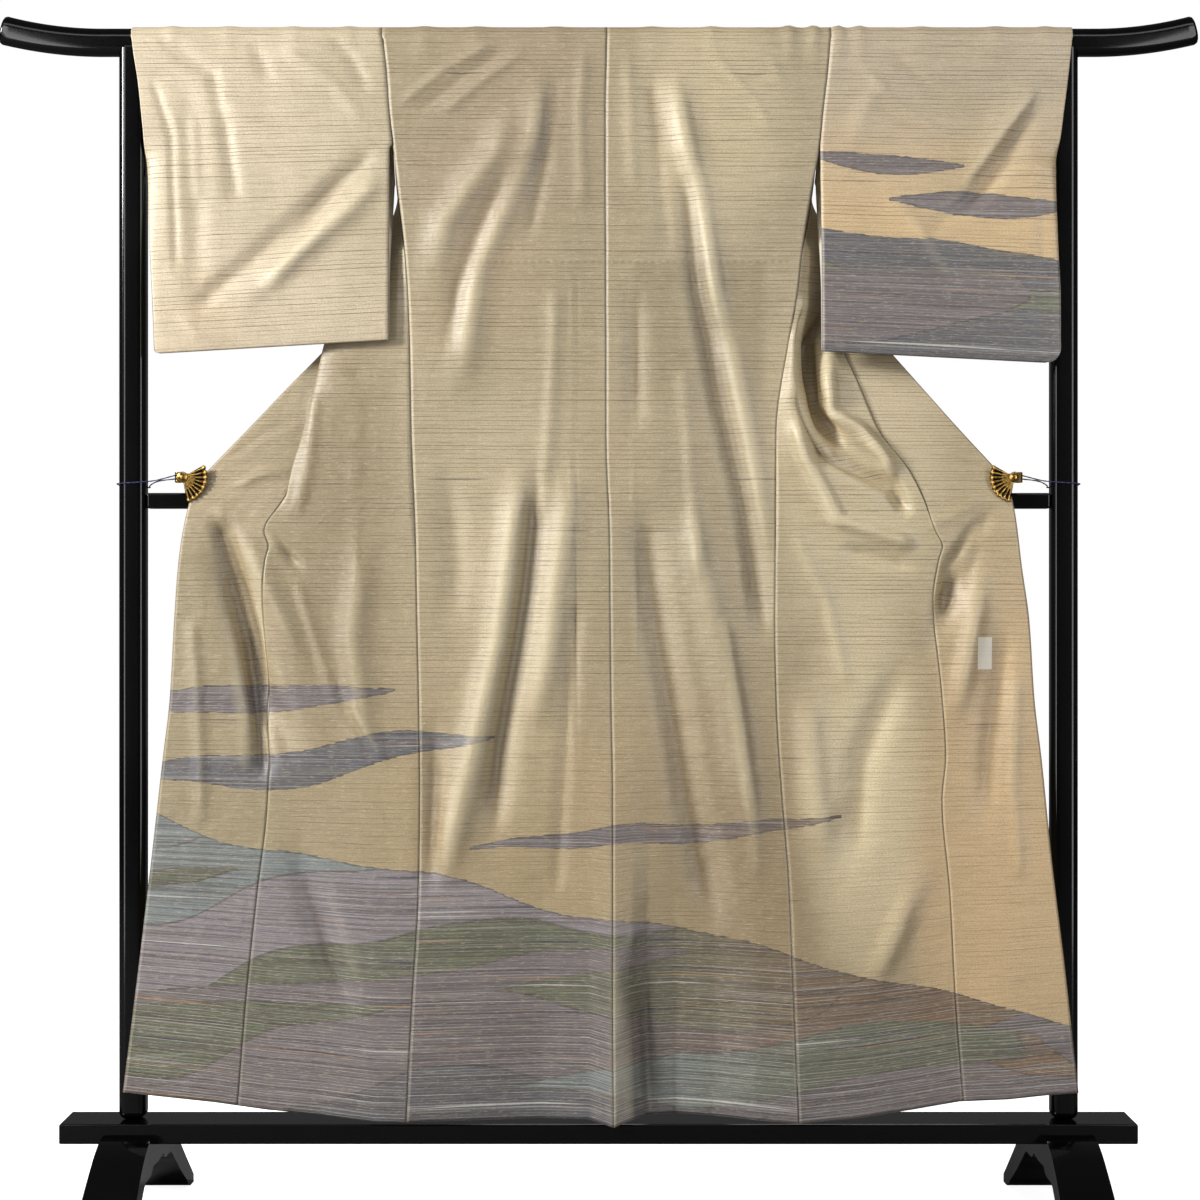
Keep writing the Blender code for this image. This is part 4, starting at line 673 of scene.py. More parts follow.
def cord_route(side):
    """From the clip to the post, once round it and back to the clip, a little lower."""
    sign = SIGN[side]
    off = CORD_DIAMETER / 2 + CORD_GAP
    near, far = -POST_HALF_DEPTH - off, POST_HALF_DEPTH + off
    inner, outer = POST_X - POST_HALF_WIDTH - off, POST_X + POST_HALF_WIDTH + off
    pivot_x, clip_z = clip_pivot(side)
    clip_y = sum(clip_faces(side)) / 2
    start = pivot_x + sign * (0.010 + off)
    return [
        (start, clip_y, clip_z + 0.003),
        (sign * (inner - 0.012), near + 0.004, clip_z - 0.004),
        (sign * (inner + 0.004), near, clip_z - 0.006),
        (sign * (outer - 0.006), near, clip_z - 0.008),
        (sign * (outer - 0.001), near + 0.002, clip_z - 0.0085),
        (sign * outer, near + 0.007, clip_z - 0.009),
        (sign * outer, far - 0.006, clip_z - 0.010),
        (sign * (outer - 0.001), far - 0.001, clip_z - 0.0105),
        (sign * (outer - 0.006), far, clip_z - 0.011),
        (sign * (inner + 0.006), far, clip_z - 0.012),
        (sign * (inner + 0.001), far - 0.001, clip_z - 0.0122),
        (sign * inner, far - 0.006, clip_z - 0.0122),
        (sign * (inner - 0.003), 0.000, clip_z - 0.010),
        (sign * (inner - 0.016), clip_y + 0.008, clip_z - 0.005),
        (start, clip_y, clip_z - 0.002),
    ]


# --- creases too fine for the solids --------------------------------------------------------------------------
BACK_CREASES = routes(
    (6, 3, -138, 12, -215, 55, -288, 112), (6, 2.4, -96, 25, -160, 70, -230, 127),
    (6, -2.2, -120, 20, -190, 65, -262, 122), (6, 2.7, 152, 25, 219, 100, 249, 150), (6, 2.4, 235, 25, 264, 94),
    (2.2, 1.5, -36, 330, -36.5, 700, -36, 1050), (2.2, -1.2, -32.5, 330, -33, 700, -32.5, 1050),
    (2.2, 1.1, 48, 340, 49, 600, 52, 900), (8, 2.7, -20, 20, -26, 120, -22, 260),
    (8, 2.4, 40, 20, 44, 110, 50, 240), (10, -3, -60, 60, -75, 180, -100, 300),
    (10, -3, 70, 60, 82, 180, 100, 320), (9, 3, 115, 460, 128, 600, 140, 780),
    (9, 3, -60, 360, -66, 520, -80, 700), (9, 2.7, 175, 820, 200, 980, 226, 1200),
    (10, -3, -30, 800, -46, 1000, -60, 1220),
)
FRONT_CREASES = routes(
    (2.8, 2, -341, 522, -340, 660, -339, 787), (6, 3.2, -468, 707, -448, 728, -427, 749),
    (6, 2.8, -362, 928, -325, 985, -290, 1040), (7, -2.8, -380, 900, -345, 965, -312, 1030),
    (7, -3.6, -360, 470, -338, 486, -316, 501), (6, -1, -532, 611, -476, 571, -413, 540),
    (6, 4, -522, 645, -470, 625, -430, 620), (5, -1, -530, 660, -490, 685, -465, 702),
    (6, -8.5, -456, 720, -437, 738, -410, 762), (9, 3.5, -395, 500, -405, 600, -425, 690),
    (8, 3, -425, 770, -395, 860, -360, 960), (10, -15, 286, 390, 300, 497, 318, 552, 345, 588),
    (8, 11.5, 322, 462, 325, 540, 366, 563, 402, 604, 418, 640),
    (10, -13, 276, 505, 312, 600, 360, 618, 412, 642, 438, 690),
    (10, 10, 272, 545, 290, 600, 337, 690, 400, 712, 452, 728), (10, -6.5, 330, 728, 400, 745, 450, 762),
    (5, -2, 554, 622, 490, 605, 425, 594), (6, 2.4, 549, 655, 500, 680, 449, 708),
    (13, -13.5, -538, 680, -528, 705, -510, 765, -488, 850, -474, 960, -470, 1060),
    (12, -8, 556, 672, 520, 715, 492, 755, 480, 830), (8, 3.5, 270, 700, 320, 800, 350, 930),
    (8, 3.5, 540, 680, 520, 730, 500, 810), (7, 2.8, -535, 660, -520, 720, -500, 790),
    (9, 3, -570, 820, -560, 960, -555, 1120), (9, 3, 585, 900, 580, 1060, 590, 1200),
)
SLEEVE_CREASES = routes(
    (10, -4.2, -624, 10, -544, 63, -527, 129, -507, 255), (6, -3, -631, 63, -600, 148, -590, 347),
    (8, 2.6, -571, 109, -561, 255), (13, -5.8, -309, 168, -372, 221, -451, 294, -510, 347, -571, 400),
    (13, 5, -303, 205, -352, 262, -418, 315, -471, 375), (10, -3.4, -491, 12, -478, 40, -455, 85),
    (8, -3.4, -384, 6, -352, 36, -319, 95), (9, 2.6, -451, 23, -372, 76, -325, 134),
    (8, 2.6, -590, 400, -560, 430, -500, 445), (8, 3.2, 360, 40, 420, 110, 500, 160),
    (8, -3.4, 400, 20, 470, 90, 560, 130), (8, 3.2, 620, 80, 560, 160, 500, 230),
    (10, -3.6, 600, 160, 540, 230, 450, 290), (8, -3, 628, 200, 622, 320, 615, 420),
    (8, 2.6, 380, 360, 450, 380, 560, 385),
)
# Short gathers where the cloth turns over the bar: x, how far they reach down, half width, height.
GATHERS = np.array((
    (-600, 60, 10, 1.6), (-520, 50, 12, 1.4), (-430, 60, 10, 1.4), (-352, 50, 10, 1.6), (-245, 60, 12, 1.6),
    (-170, 50, 12, 1.4), (-60, 50, 14, 1.2), (75, 60, 12, 1.4), (160, 60, 10, 1.6), (268, 60, 8, 2.8),
    (288, 70, 7, -0.5), (303, 70, 6, 3), (338, 70, 6, 2.8), (352, 60, 7, -0.5), (368, 60, 8, 2.4),
    (455, 50, 12, 1.4), (560, 60, 12, 1.6), (630, 50, 10, 1.4),
)) / 1000
CREASE_TAPER = 0.035  # as FOLD_TAPER, for the creases
FACING, CREST_FACING = (0.3, 0.8), (0.0, 0.6)  # creases fade in as the cloth turns to the viewer
SLEEVE_CALM = 0.03  # creases fade out this near a sleeve's sewn edges
TURNED_DROP = 0.30  # above this drop the fronts face away
SHOULDER_FROM_NECK, SHOULDER_OUT = (0.10, 0.16), (0.20, 0.28)  # where the far shoulders' creases are: |x|, drop


def creased(grid, routes, gathers=False):
    """The grid with the listed creases raised towards the viewer, whom its first rows face."""
    x, drop = grid[..., 0], HANG_Z - grid[..., 2]
    normal = normals_of(grid)
    normal *= -np.sign(normal[: len(grid) // 2, :, 1].sum())
    towards = -normal[..., 1]
    rise = route_sum(routes, CREASE_TAPER, x, drop) * smooth(*FACING, towards)
    if gathers:
        rise += gathered(x, drop) * smooth(*CREST_FACING, towards + 0.8 * normal[..., 2])
    return grid + rise[..., None] * normal


def gathered(x, drop):
    """Height of the gathers, over the crest of the bar and a little way down."""
    total = np.zeros(np.shape(x))
    for gx, reach, half_width, height in GATHERS:
        total += height * np.exp(-(((x - gx) / half_width) ** 2)) * smooth(reach, 0.2 * reach, drop)
    return total


def normals_of(grid):
    normal = np.cross(np.gradient(grid, axis=0), np.gradient(grid, axis=1))
    return normal / np.linalg.norm(normal, axis=-1, keepdims=True)


# --- node materials -------------------------------------------------------------------------------------------
def srgb(r, g, b):
    """Linear colour from 0 to 255 display values."""
    return tuple((c / 255 / 12.92) if c <= 10.3 else ((c / 255 + 0.055) / 1.055) ** 2.4 for c in (r, g, b))


class Value:
    """A node's output. Arithmetic on it adds Math nodes to the same tree."""

    def __init__(self, graph, socket):
        self.graph, self.socket = graph, socket

    def __add__(self, other):
        return self.graph.math("ADD", self, other)

    def __mul__(self, other):
        return self.graph.math("MULTIPLY", self, other)

    def __sub__(self, other):
        return self.graph.math("SUBTRACT", self, other)

    def __rsub__(self, other):
        return self.graph.math("SUBTRACT", other, self)

    def __truediv__(self, other):
        return self.graph.math("DIVIDE", self, other)

    def __pow__(self, other):
        return self.graph.math("POWER", self, other)

    def __abs__(self):
        return self.graph.math("ABSOLUTE", self)

    __radd__, __rmul__ = __add__, __mul__


class Graph:
    """A material's node tree, with a short call for each kind of node that the materials below use."""

    def __init__(self, name):
        self.material = bpy.data.materials.new(name)
        self.material.use_nodes = True
        self.tree = self.material.node_tree
        self.shader = self.tree.nodes["Principled BSDF"]

    def put(self, socket, value):
        if isinstance(value, Value):
            self.tree.links.new(value.socket, socket)
        elif isinstance(value, tuple) and len(value) == 3 and socket.type == "RGBA":
            socket.default_value = (*value, 1)
        else:
            socket.default_value = value

    def fill(self, made, values):
        for name, value in values.items():
            self.put(made.inputs[name], value)

    def node(self, kind, **settings):
        made = self.tree.nodes.new(kind)
        for key, value in settings.items():
            setattr(made, key, value)
        return made

    def read(self, kind, output, **settings):
        """An output of a new node that needs no input."""
        return Value(self, self.node(kind, **settings).outputs[output])

    def math(self, operation, *values, clamp=False):
        made = self.node("ShaderNodeMath", operation=operation, use_clamp=clamp)
        for socket, value in zip(made.inputs, values):
            self.put(socket, value)
        return Value(self, made.outputs[0])

    def split(self, vector):
        parts = self.node("ShaderNodeSeparateXYZ")
        self.put(parts.inputs[0], vector)
        return [Value(self, part) for part in parts.outputs]

    def cloth(self):
        """Metres across and along the cloth, and from its nearer long edge."""
        return self.split(self.read("ShaderNodeAttribute", "Vector", attribute_name="cloth"))

    def place(self):
        return self.split(self.read("ShaderNodeTexCoord", "Object"))

    def texture(self, kind, place, **settings):
        """A texture node that is read at the place that three values give."""
        made, where = self.node(kind, **settings), self.node("ShaderNodeCombineXYZ")
        for socket, value in zip(where.inputs, place):
            self.put(socket, value)
        self.tree.links.new(where.outputs[0], made.inputs["Vector"])
        return made

    def noise(self, x, y, z, detail=2.0, roughness=0.5, scale=1.0):
        made = self.texture("ShaderNodeTexNoise", (x, y, z))
        self.fill(made, {"Scale": scale, "Detail": detail, "Roughness": roughness})
        return Value(self, made.outputs[0])

    def chance(self, row, seed):
        """An even random value for each row."""
        made = self.texture("ShaderNodeTexWhiteNoise", (row, 0.0, seed), noise_dimensions="3D")
        return Value(self, made.outputs["Value"])

    def step(self, low, high, value):
        """0 below low, 1 above high and smooth between them; low may be above high."""
        made = self.node("ShaderNodeMapRange", interpolation_type="SMOOTHSTEP")
        ends = (0, 1) if low <= high else (1, 0)
        self.fill(made, {"Value": value, "From Min": min(low, high), "From Max": max(low, high)})
        self.fill(made, {"To Min": ends[0], "To Max": ends[1]})
        return Value(self, made.outputs["Result"])

    def mix(self, share, a, b, blend="MIX"):
        made = self.node("ShaderNodeMix", data_type="RGBA", blend_type=blend)
        for index, value in ((0, share), (6, a), (7, b)):
            self.put(made.inputs[index], value)
        return Value(self, made.outputs[2])

    def tinted(self, under, share, colour):
        """A colour with another, in display values, laid over it by this share."""
        return self.mix(share, under, srgb(*colour))

    def bump(self, height, distance, strength, normal=None):
        made = self.node("ShaderNodeBump")
        self.fill(made, {"Height": height, "Distance": distance, "Strength": strength})
        if normal is not None:
            self.put(made.inputs["Normal"], normal)
        return Value(self, made.outputs[0])

    def finish(self, colour, roughness, normal=None, **constants):
        self.fill(self.shader, {"Base Color": colour, "Roughness": roughness})
        if normal is not None:
            self.put(self.shader.inputs["Normal"], normal)
        self.fill(self.shader, {name.replace("_", " "): value for name, value in constants.items()})
        return self.material


# The woven mist: wavy strata, with long tapering drifts over them and a little above them.
LAVENDER, MAUVE, SAGE, MOSS = (136, 129, 135), (112, 104, 108), (108, 115, 95), (92, 98, 78)
SLATE, MIST, UMBER, SAND = (88, 90, 98), (120, 131, 132), (118, 94, 72), (146, 120, 88)
MIST_ORDER = (LAVENDER, SAGE, MAUVE, LAVENDER, MOSS, MAUVE, MIST, MOSS, SLATE, SAGE, SLATE, MAUVE)
BROWN_ORDER = (SAND, UMBER, SAND, UMBER, MAUVE, UMBER, MOSS, UMBER, MAUVE, UMBER, MAUVE, UMBER)
OUTLINE, OUTLINE_SHARE, OUTLINE_BAND = (62, 54, 50), 0.66, (-0.0024, -0.0013)
EDGE_BAND = (0.0004, -0.0004)  # a limit is this sharp
RAGGED = 0.006  # how far the weft makes a limit ragged
STRATUM_FALL = -0.10  # how much the strata fall to the metre
DRIFTS = ((0.135, 5.0, 1.1), (0.088, 23.0, 1.5))  # pitch, seed, swells to the metre
THINNEST = 0.002  # half the height of the thinnest drift
# Where mist lies. The limit is the height of its upper edge at x, and slopes. The palette starts at the top.
# Drifts swell where the noise is above swell. Each free drift has its middle (x, height), half length, half
# height and fall to the metre.
BODY_MIST = {
    "limit": 0.440, "x": 0.0, "slope": -0.22, "top": 0.80, "stratum": 0.105, "swell": 0.53,
    "free": (
        (-0.500, 0.745, 0.240, 0.020, -0.06), (-0.420, 0.665, 0.300, 0.026, -0.10),
        (0.080, 0.560, 0.300, 0.014, -0.08),
    ),
}
SLEEVE_MIST = {
    "limit": 1.385, "x": 0.47, "slope": -0.12, "top": 1.78, "stratum": 0.0525, "swell": 0.42,
    "free": ((0.400, 1.500, 0.130, 0.014, 0.08), (0.540, 1.440, 0.150, 0.018, 0.05)),
}


def palette(g, order, share):
    ramp = g.node("ShaderNodeValToRGB")
    ramp.color_ramp.interpolation = "CONSTANT"
    elements = ramp.color_ramp.elements
    while len(elements) < len(order):
        elements.new(1.0)
    for k, tint in enumerate(order):
        elements[k].position = k / len(order)
        elements[k].color = (*srgb(*tint), 1)
    g.put(ramp.inputs[0], share)
    return Value(g, ramp.outputs[0])


def mist(g, colour, x, z, ragged, zone, browner):
    """Lays the strata and the drifts over the ground colour, and says where they are."""

    def wave(across, up, seed, size):
        return (g.noise(x * across, seed, z * up, 1.0) - 0.5) * size

    def tint(row, pitch, seed):
        pick = g.math("ADD", g.chance(row, seed) * 0.55, (zone["top"] - row * pitch) * 0.55, clamp=True)
        return g.mix(browner, palette(g, MIST_ORDER, pick), palette(g, BROWN_ORDER, pick))

    def laid(under, inside, away, band):
        return g.mix(inside, under, g.tinted(band, g.step(*OUTLINE_BAND, away) * OUTLINE_SHARE, OUTLINE))

    def drift(under, rise, half, band):
        """A band that reaches half to each side of where rise is 0."""
        away = (abs(rise) - half) + ragged
        inside = g.step(*EDGE_BAND, away) * g.math("GREATER_THAN", half, THINNEST)
        return laid(under, inside, away, band), inside

    above = (z - (zone["limit"] + (x - zone["x"]) * zone["slope"])) + wave(2.6, 0.0, 2.0, 0.16)
    away = above + ragged
    covered = g.step(*EDGE_BAND, away)
    tilted = z + x * STRATUM_FALL
    rows = (tilted + wave(2.4, 1.0, 8.0, 0.24)) / zone["stratum"]
    gap = (abs(g.math("FRACT", rows) - 0.5) - 0.5) * zone["stratum"] - abs(ragged)
    strata = tint(g.math("FLOOR", rows), zone["stratum"], 4.0)
    colour = laid(colour, covered, g.math("MAXIMUM", away, gap), strata)
    for pitch, seed, swells in DRIFTS:
        rows = (tilted + wave(1.9, 0.7, seed, 0.20)) / pitch
        row = g.math("FLOOR", rows)
        rise = (g.math("FRACT", rows) - 0.5) * pitch
        half = (g.noise(x * swells, row * 3.7, seed, 0.0) - zone["swell"]) * (3.2 * pitch)
        half = g.math("MINIMUM", half, 0.45 * pitch) * g.step(-0.02, -0.07, above)
        colour, _ = drift(colour, rise, half, tint(row, pitch, seed))
    for k, (x0, z0, length, height, fall) in enumerate(zone["free"]):
        along = x - x0
        half = g.math("SUBTRACT", 1.0, (along / length) ** 2.0, clamp=True) ** 1.4 * height
        rise = ((z - z0) + along * fall) + wave(3.1, 0.0, 11.0 + k, 0.09)
        colour, inside = drift(colour, rise, half, tint(1.0 + k, 0.15, 31.0))
        covered = g.math("MAXIMUM", covered, inside)
    return colour, covered


# Colours of painted shade and painted light, laid over the body where its folds lie in shade or catch the light.
PAINTED_SHADE, PAINTED_LIGHT = (140, 122, 92), (236, 218, 178)
LIGHT_AND_SHADE_PATCHES = (  # patches of painted light and painted shade: middle (x, height), half width, half height, share, colour
    (0.36, 1.08, 0.16, 0.34, 0.50, PAINTED_LIGHT), (-0.37, 1.00, 0.11, 0.40, 0.55, PAINTED_SHADE),
    (0.15, 1.56, 0.15, 0.20, 0.35, PAINTED_LIGHT), (-0.12, 0.90, 0.13, 0.40, 0.20, PAINTED_LIGHT),
    (0.22, 0.47, 0.14, 0.26, 0.60, PAINTED_SHADE), (0.17, 0.68, 0.12, 0.16, 0.30, PAINTED_SHADE),
    (0.37, 0.62, 0.11, 0.32, 0.70, PAINTED_LIGHT), (0.57, 0.50, 0.16, 0.50, 0.42, (228, 190, 142)),
)
BLANK_SEAL = (0.530, 0.551, 0.788, 0.833)  # x and height, low and high
HIP_LINING = ((0.052, 0.228, 0.34), (-0.205, -0.010, 0.16))  # where it shows through: x, x, share
HIP_TOP = 1.359  # height of the stitches along the hip lining's upper edge
TUCK_PITCH = 0.0105  # between those stitches
WOVEN_STRIPES = (  # lines to the metre, seed, where the noise cuts in, share, colour
    (300.0, 3.0, 0.56, 0.45, (160, 153, 147)), (280.0, 9.0, 0.52, 0.60, (70, 65, 66)),
    (90.0, 17.0, 0.65, 0.85, (44, 50, 80)), (120.0, 29.0, 0.65, 0.60, (184, 142, 98)),
    (170.0, 37.0, 0.67, 0.75, (206, 206, 200)), (60.0, 53.0, 0.62, 0.50, (86, 90, 80)),
)
YARN_AND_SHEEN_FLECKS = (  # scale across and along, seed, detail, roughness, where the noise cuts in, share, colour; the dark rows are yarn flecks, the pale second row is painted highlight, glints of the silk's sheen
    (14.0, 620.0, 0.0, 3.0, 0.85, (0.44, 0.66), 0.30, (112, 94, 66)),
    (60.0, 640.0, 19.0, 2.0, 0.8, (0.54, 0.70), 0.30, (232, 218, 184)),
    (420.0, 520.0, 9.0, 2.0, 0.8, (0.46, 0.62), 0.28, (116, 98, 70)),
    (7.0, 330.0, 41.0, 0.0, 0.5, (0.83, 0.86), 0.70, (62, 52, 46)),
)
SLUB_PITCH, WEFT_PITCH = 0.0060, 0.0042  # between the ground's slub lines, and between the mist's


def silk_outside(name, zone, pale, deep, reach=(1.10, 0.45)):
    """Pongee silk: pale above and deep below, with soft clouds, slub lines, its zone of mist and its seams, and
    painted light and shade: on the body's sides and patches, along the seams, and in the hollows and on the ridges
    of the folds.
    """
    g = Graph(name)
    u, v, edge = g.cloth()
    x, _, z = g.place()
    colour, covered = g.mix(g.step(*reach, z), srgb(*pale), srgb(*deep)), 0.0
    if zone is BODY_MIST:
        # Painted shade and light on the body: its left side and the left of its upper back are darkened, and its
        # right side is lightened, for the shade and light that fall there.
        colour = g.tinted(colour, g.step(-0.20, -0.62, x), (160, 145, 114))
        colour = g.tinted(colour, g.step(1.25, 1.50, z) * g.step(0.16, -0.10, x) * 0.60, (150, 132, 108))
        colour = g.tinted(colour, g.step(0.36, 0.60, x) * 0.7, (206, 180, 138))
    cloud, blush = g.noise(x * 5.0, 0.0, z * 2.6), g.noise(x * 3.1, 4.0, z * 2.1, 1.0)
    colour = g.tinted(colour, g.step(0.42, 0.70, cloud) * 0.40, (158, 147, 114))
    colour = g.tinted(colour, g.step(0.50, 0.75, blush) * 0.30, (202, 172, 134))
    if zone is BODY_MIST:
        for x0, x1, share in HIP_LINING:
            patch = g.step(x0 - 0.008, x0 + 0.004, x) * g.step(x1 + 0.012, x1 - 0.004, x)
            patch = patch * (g.step(HIP_TOP + 0.002, HIP_TOP - 0.002, z) * g.step(1.13, 1.21, z))
            colour = g.tinted(colour, patch * share, (128, 116, 84))
        tucks = g.math("SINE", x * (2 * math.pi / TUCK_PITCH))
        row = g.step(-0.205, -0.195, x) * g.step(0.270, 0.262, x) * g.step(0.0034, 0.0012, abs(z - HIP_TOP))
        colour = g.tinted(colour, row * (tucks * 0.13 + 0.15), (96, 82, 56))
        # Patches of painted light and painted shade.
        for x0, z0, wide, high, share, painted_tone in LIGHT_AND_SHADE_PATCHES:
            out = ((x - x0) / wide) ** 2.0 + ((z - z0) / high) ** 2.0
            colour = g.tinted(colour, g.step(1.0, 0.0, out) * share, painted_tone)
    if zone:
        ragged = (g.noise(u * 55.0, v * 420.0, 0.0, 1.0) - 0.5) * RAGGED
        browner = g.step(-0.05, 0.42, x) if zone is BODY_MIST else 0.0
        colour, covered = mist(g, colour, x, z, ragged, zone, browner)
        for scale, seed, low_cut, share, tint in WOVEN_STRIPES:
            stripe = g.noise(u * 1.6, v * scale, seed, 2.0, 0.7)
            colour = g.tinted(colour, covered * (g.step(low_cut, low_cut + 0.03, stripe) * share), tint)
        weft = slub_lines(g, u, v, WEFT_PITCH, 9.0) * covered
        colour = g.tinted(colour, weft * (g.step(0.42, 0.26, z) * 0.30 + 0.34), (208, 204, 196))
    line = slub_lines(g, u, v, SLUB_PITCH, 5.0)
    strength = g.step(0.40, 0.95, z) * 0.44 + 0.26
    colour = g.tinted(colour, line * strength * (1.0 - covered), (84, 66, 44))
    # Flecks of dark yarn, and pale flecks that are painted highlight: glints of the silk's sheen.
    for across, along, seed, detail, roughness, cut, share, tint in YARN_AND_SHEEN_FLECKS:
        fleck = g.noise(u * across, v * along, seed, detail, roughness)
        colour = g.tinted(colour, g.step(*cut, fleck) * share, tint)
    if zone is BODY_MIST:
        x0, x1, z0, z1 = BLANK_SEAL
        across = g.math("COMPARE", x, (x0 + x1) / 2, (x1 - x0) / 2)
        up = g.math("COMPARE", z, (z0 + z1) / 2, (z1 - z0) / 2)
        colour = g.tinted(colour, across * up * 0.94, (240, 233, 216))
    colour = g.tinted(colour, g.step(0.0009, 0.0003, edge) * 0.62, (64, 52, 36))
    # A painted highlight on the raised strip beside each seam.
    seam_highlight = g.step(0.0010, 0.0020, edge) * g.step(0.0050, 0.0034, edge)
    colour = g.tinted(colour, seam_highlight * 0.08, (236, 220, 184))
    # Painted shade in the hollows of the folds and painted highlight on their ridges.
    hollow = g.read("ShaderNodeAttribute", "Fac", attribute_name="hollow")
    colour = g.mix(g.step(0.15, 1.0, hollow) * 0.55, colour, (0.34, 0.29, 0.21), "MULTIPLY")
    colour = g.tinted(colour, g.step(-0.10, -1.0, hollow) * 0.30, (238, 224, 188))
    return silk_finish(g, colour, u, v, edge, line)


def slub_lines(g, u, v, pitch, along):
    """Thin lines across the cloth, one at each pitch, that fade where the slub runs out."""
    t = v / pitch
    t = t + g.noise(u * 2.0, t * 0.35, 7.0, 1.0) * 1.2
    from_line, index = abs(g.math("FRACT", t) - 0.5), g.math("FLOOR", t)
    run = g.noise(u * along, index * 5.37, 0.0, 2.0, 0.7)
    bits = g.noise(u * 90.0, index * 3.11, 8.0, 1.0)
    there = g.step(0.32, 0.54, run) * (bits * 0.9 + 0.45) * (g.chance(index, along) + 0.35)
    return g.math("MULTIPLY", g.step(0.105, 0.050, from_line), there, clamp=True)


def silk_finish(g, colour, u, v, edge, line):
    """Slubbed weft in the bump, and the low gloss of pongee silk."""
    weft = g.noise(u * 25.0, v * 1300.0, 0.0, 2.0, 0.7)
    warp = g.noise(u * 1600.0, v * 60.0, 5.0, 1.0)
    normal = g.bump(weft * 0.6 + warp * 0.3 + line * 0.7, 0.00030, 0.9)
    normal = g.bump(g.noise(u * 16.0, v * 7.0, 2.0, 3.0, 0.55), 0.006, 0.30, normal)
    normal = g.bump(g.noise(u * 10.0 + v * 6.0, v * 20.0 - u * 16.0, 3.0), 0.006, 0.26, normal)
    normal = g.bump(g.noise(u * 70.0, v * 34.0, 6.0, 2.0, 0.6), 0.0018, 0.32, normal)
    normal = g.bump(g.step(0.0, 0.0040, edge), 0.0003, 0.25, normal)
    roughness = g.noise(u * 18.0, v * 260.0, 1.0) * 0.22 + 0.34
    return g.finish(
        colour, roughness, normal,
        Sheen_Weight=0.25, Sheen_Roughness=0.35, Sheen_Tint=(*srgb(255, 236, 200), 1), IOR=1.45,
        Specular_IOR_Level=0.60,
    )


def silk_lining():
    """The lining: cream above and the hem's own colour below, with a plain fine weave."""
    g = Graph("lining")
    u, v, edge = g.cloth()
    _, _, z = g.place()
    border = g.mix(g.step(0.16, 0.62, z), srgb(146, 138, 130), srgb(196, 170, 128))
    colour = g.mix(g.step(0.640, 0.636, z), srgb(228, 216, 190), border)
    fine = g.noise(u * 30.0, v * 700.0, 0.0, 2.0, 0.7)
    colour = g.tinted(colour, fine * 0.12, (150, 130, 98))
    colour = g.tinted(colour, g.step(0.0030, 0.0010, edge) * 0.4, (110, 92, 66))
    return silk_finish(g, colour, u, v, edge, fine)


def lacquer():
    g = Graph("lacquer")
    x, y, z = g.place()
    waves = g.noise(x * 6.0, y * 9.0, z * 6.0)
    specks = g.noise(x, y, z, 2.0, 0.7, 420.0)
    colour = g.mix(g.step(0.55, 0.85, waves), srgb(3, 3, 4), srgb(6, 6, 6))
    normal = g.bump(specks, 0.00005, 0.5, g.bump(waves, 0.0008, 0.10))
    return g.finish(
        colour, waves * 0.07 + 0.10, normal,
        Coat_Weight=0.05, Coat_Roughness=0.04, IOR=1.45, Specular_IOR_Level=0.32,
    )


def gilt():
    g = Graph("gilt")
    mottle = g.noise(*g.place(), 3.0, 0.6, 260.0)
    # Gold mottled at random with dark brown, both set darker than gold to stand in for the metal's dark
    # reflections: painted reflection.
    colour = g.mix(g.step(0.40, 0.70, mottle), srgb(160, 128, 68), srgb(84, 62, 30))
    # Painted shade and dark reflection between the ribs.
    rib_shade = g.read("ShaderNodeAttribute", "Fac", attribute_name="rib_shade")
    colour = g.tinted(colour, g.step(0.30, 0.55, rib_shade), (24, 17, 10))
    return g.finish(colour, mottle * 0.22 + 0.20, g.bump(mottle, 0.0002, 0.35), Metallic=1.0)


def cord_finish():
    g = Graph("twisted_cord")
    x, y, z = g.place()
    twist = g.math("SINE", x * 900.0 + z * 1500.0 + y * 900.0)
    colour = g.mix(g.step(-0.6, 0.9, twist), srgb(18, 18, 46), srgb(52, 54, 112))
    fuzz = g.noise(x, y, z, 2.0, 0.6, 2400.0)
    return g.finish(colour, fuzz * 0.3 + 0.6, g.bump(twist, 0.0003, 0.7))


# --- building -------------------------------------------------------------------------------------------------
def new_object(name, mesh, finish, slot, *nodes):
    obj = bpy.data.objects.new(name, mesh)
    bpy.context.scene.collection.objects.link(obj)
    for item in finish if isinstance(finish, tuple) else (finish,):
        mesh.materials.append(item)
    if nodes:
        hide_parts(*nodes)
    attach(obj, "root")
    return obj


def smooth_faces(mesh):
    mesh.polygons.foreach_set("use_smooth", [True] * len(mesh.polygons))
    mesh.update()


def face_outward(mesh, faces, points, probe, direction):
    """The faces turned round, if need be, so that the probed one faces the given way."""
    a, b, c = (np.array(points[i]) for i in faces[probe][:3])
    if np.dot(np.cross(b - a, c - a), direction) < 0:
        faces = [face[::-1] for face in faces]
    mesh.from_pydata([tuple(map(float, p)) for p in points], [], faces)
    smooth_faces(mesh)


HOLLOW_REACH, HOLLOW_DEPTH = 7, 0.006  # points to each side, and the depth that counts as one


def hollows(grid, facing):
    """How far each point lies behind the cloth to its left and right, as a share of HOLLOW_DEPTH.

    Facing is 1 where the outer face looks to -Y, and -1 where it looks to +Y.
    """
    y, total = np.pad(grid[..., 1], ((0, 0), (HOLLOW_REACH, HOLLOW_REACH)), "edge"), 0.0
    for k in range(2 * HOLLOW_REACH + 1):
        total = total + y[:, k : k + grid.shape[1]]
    return np.clip((grid[..., 1] - total / (2 * HOLLOW_REACH + 1)) * facing / HOLLOW_DEPTH, -1, 1)


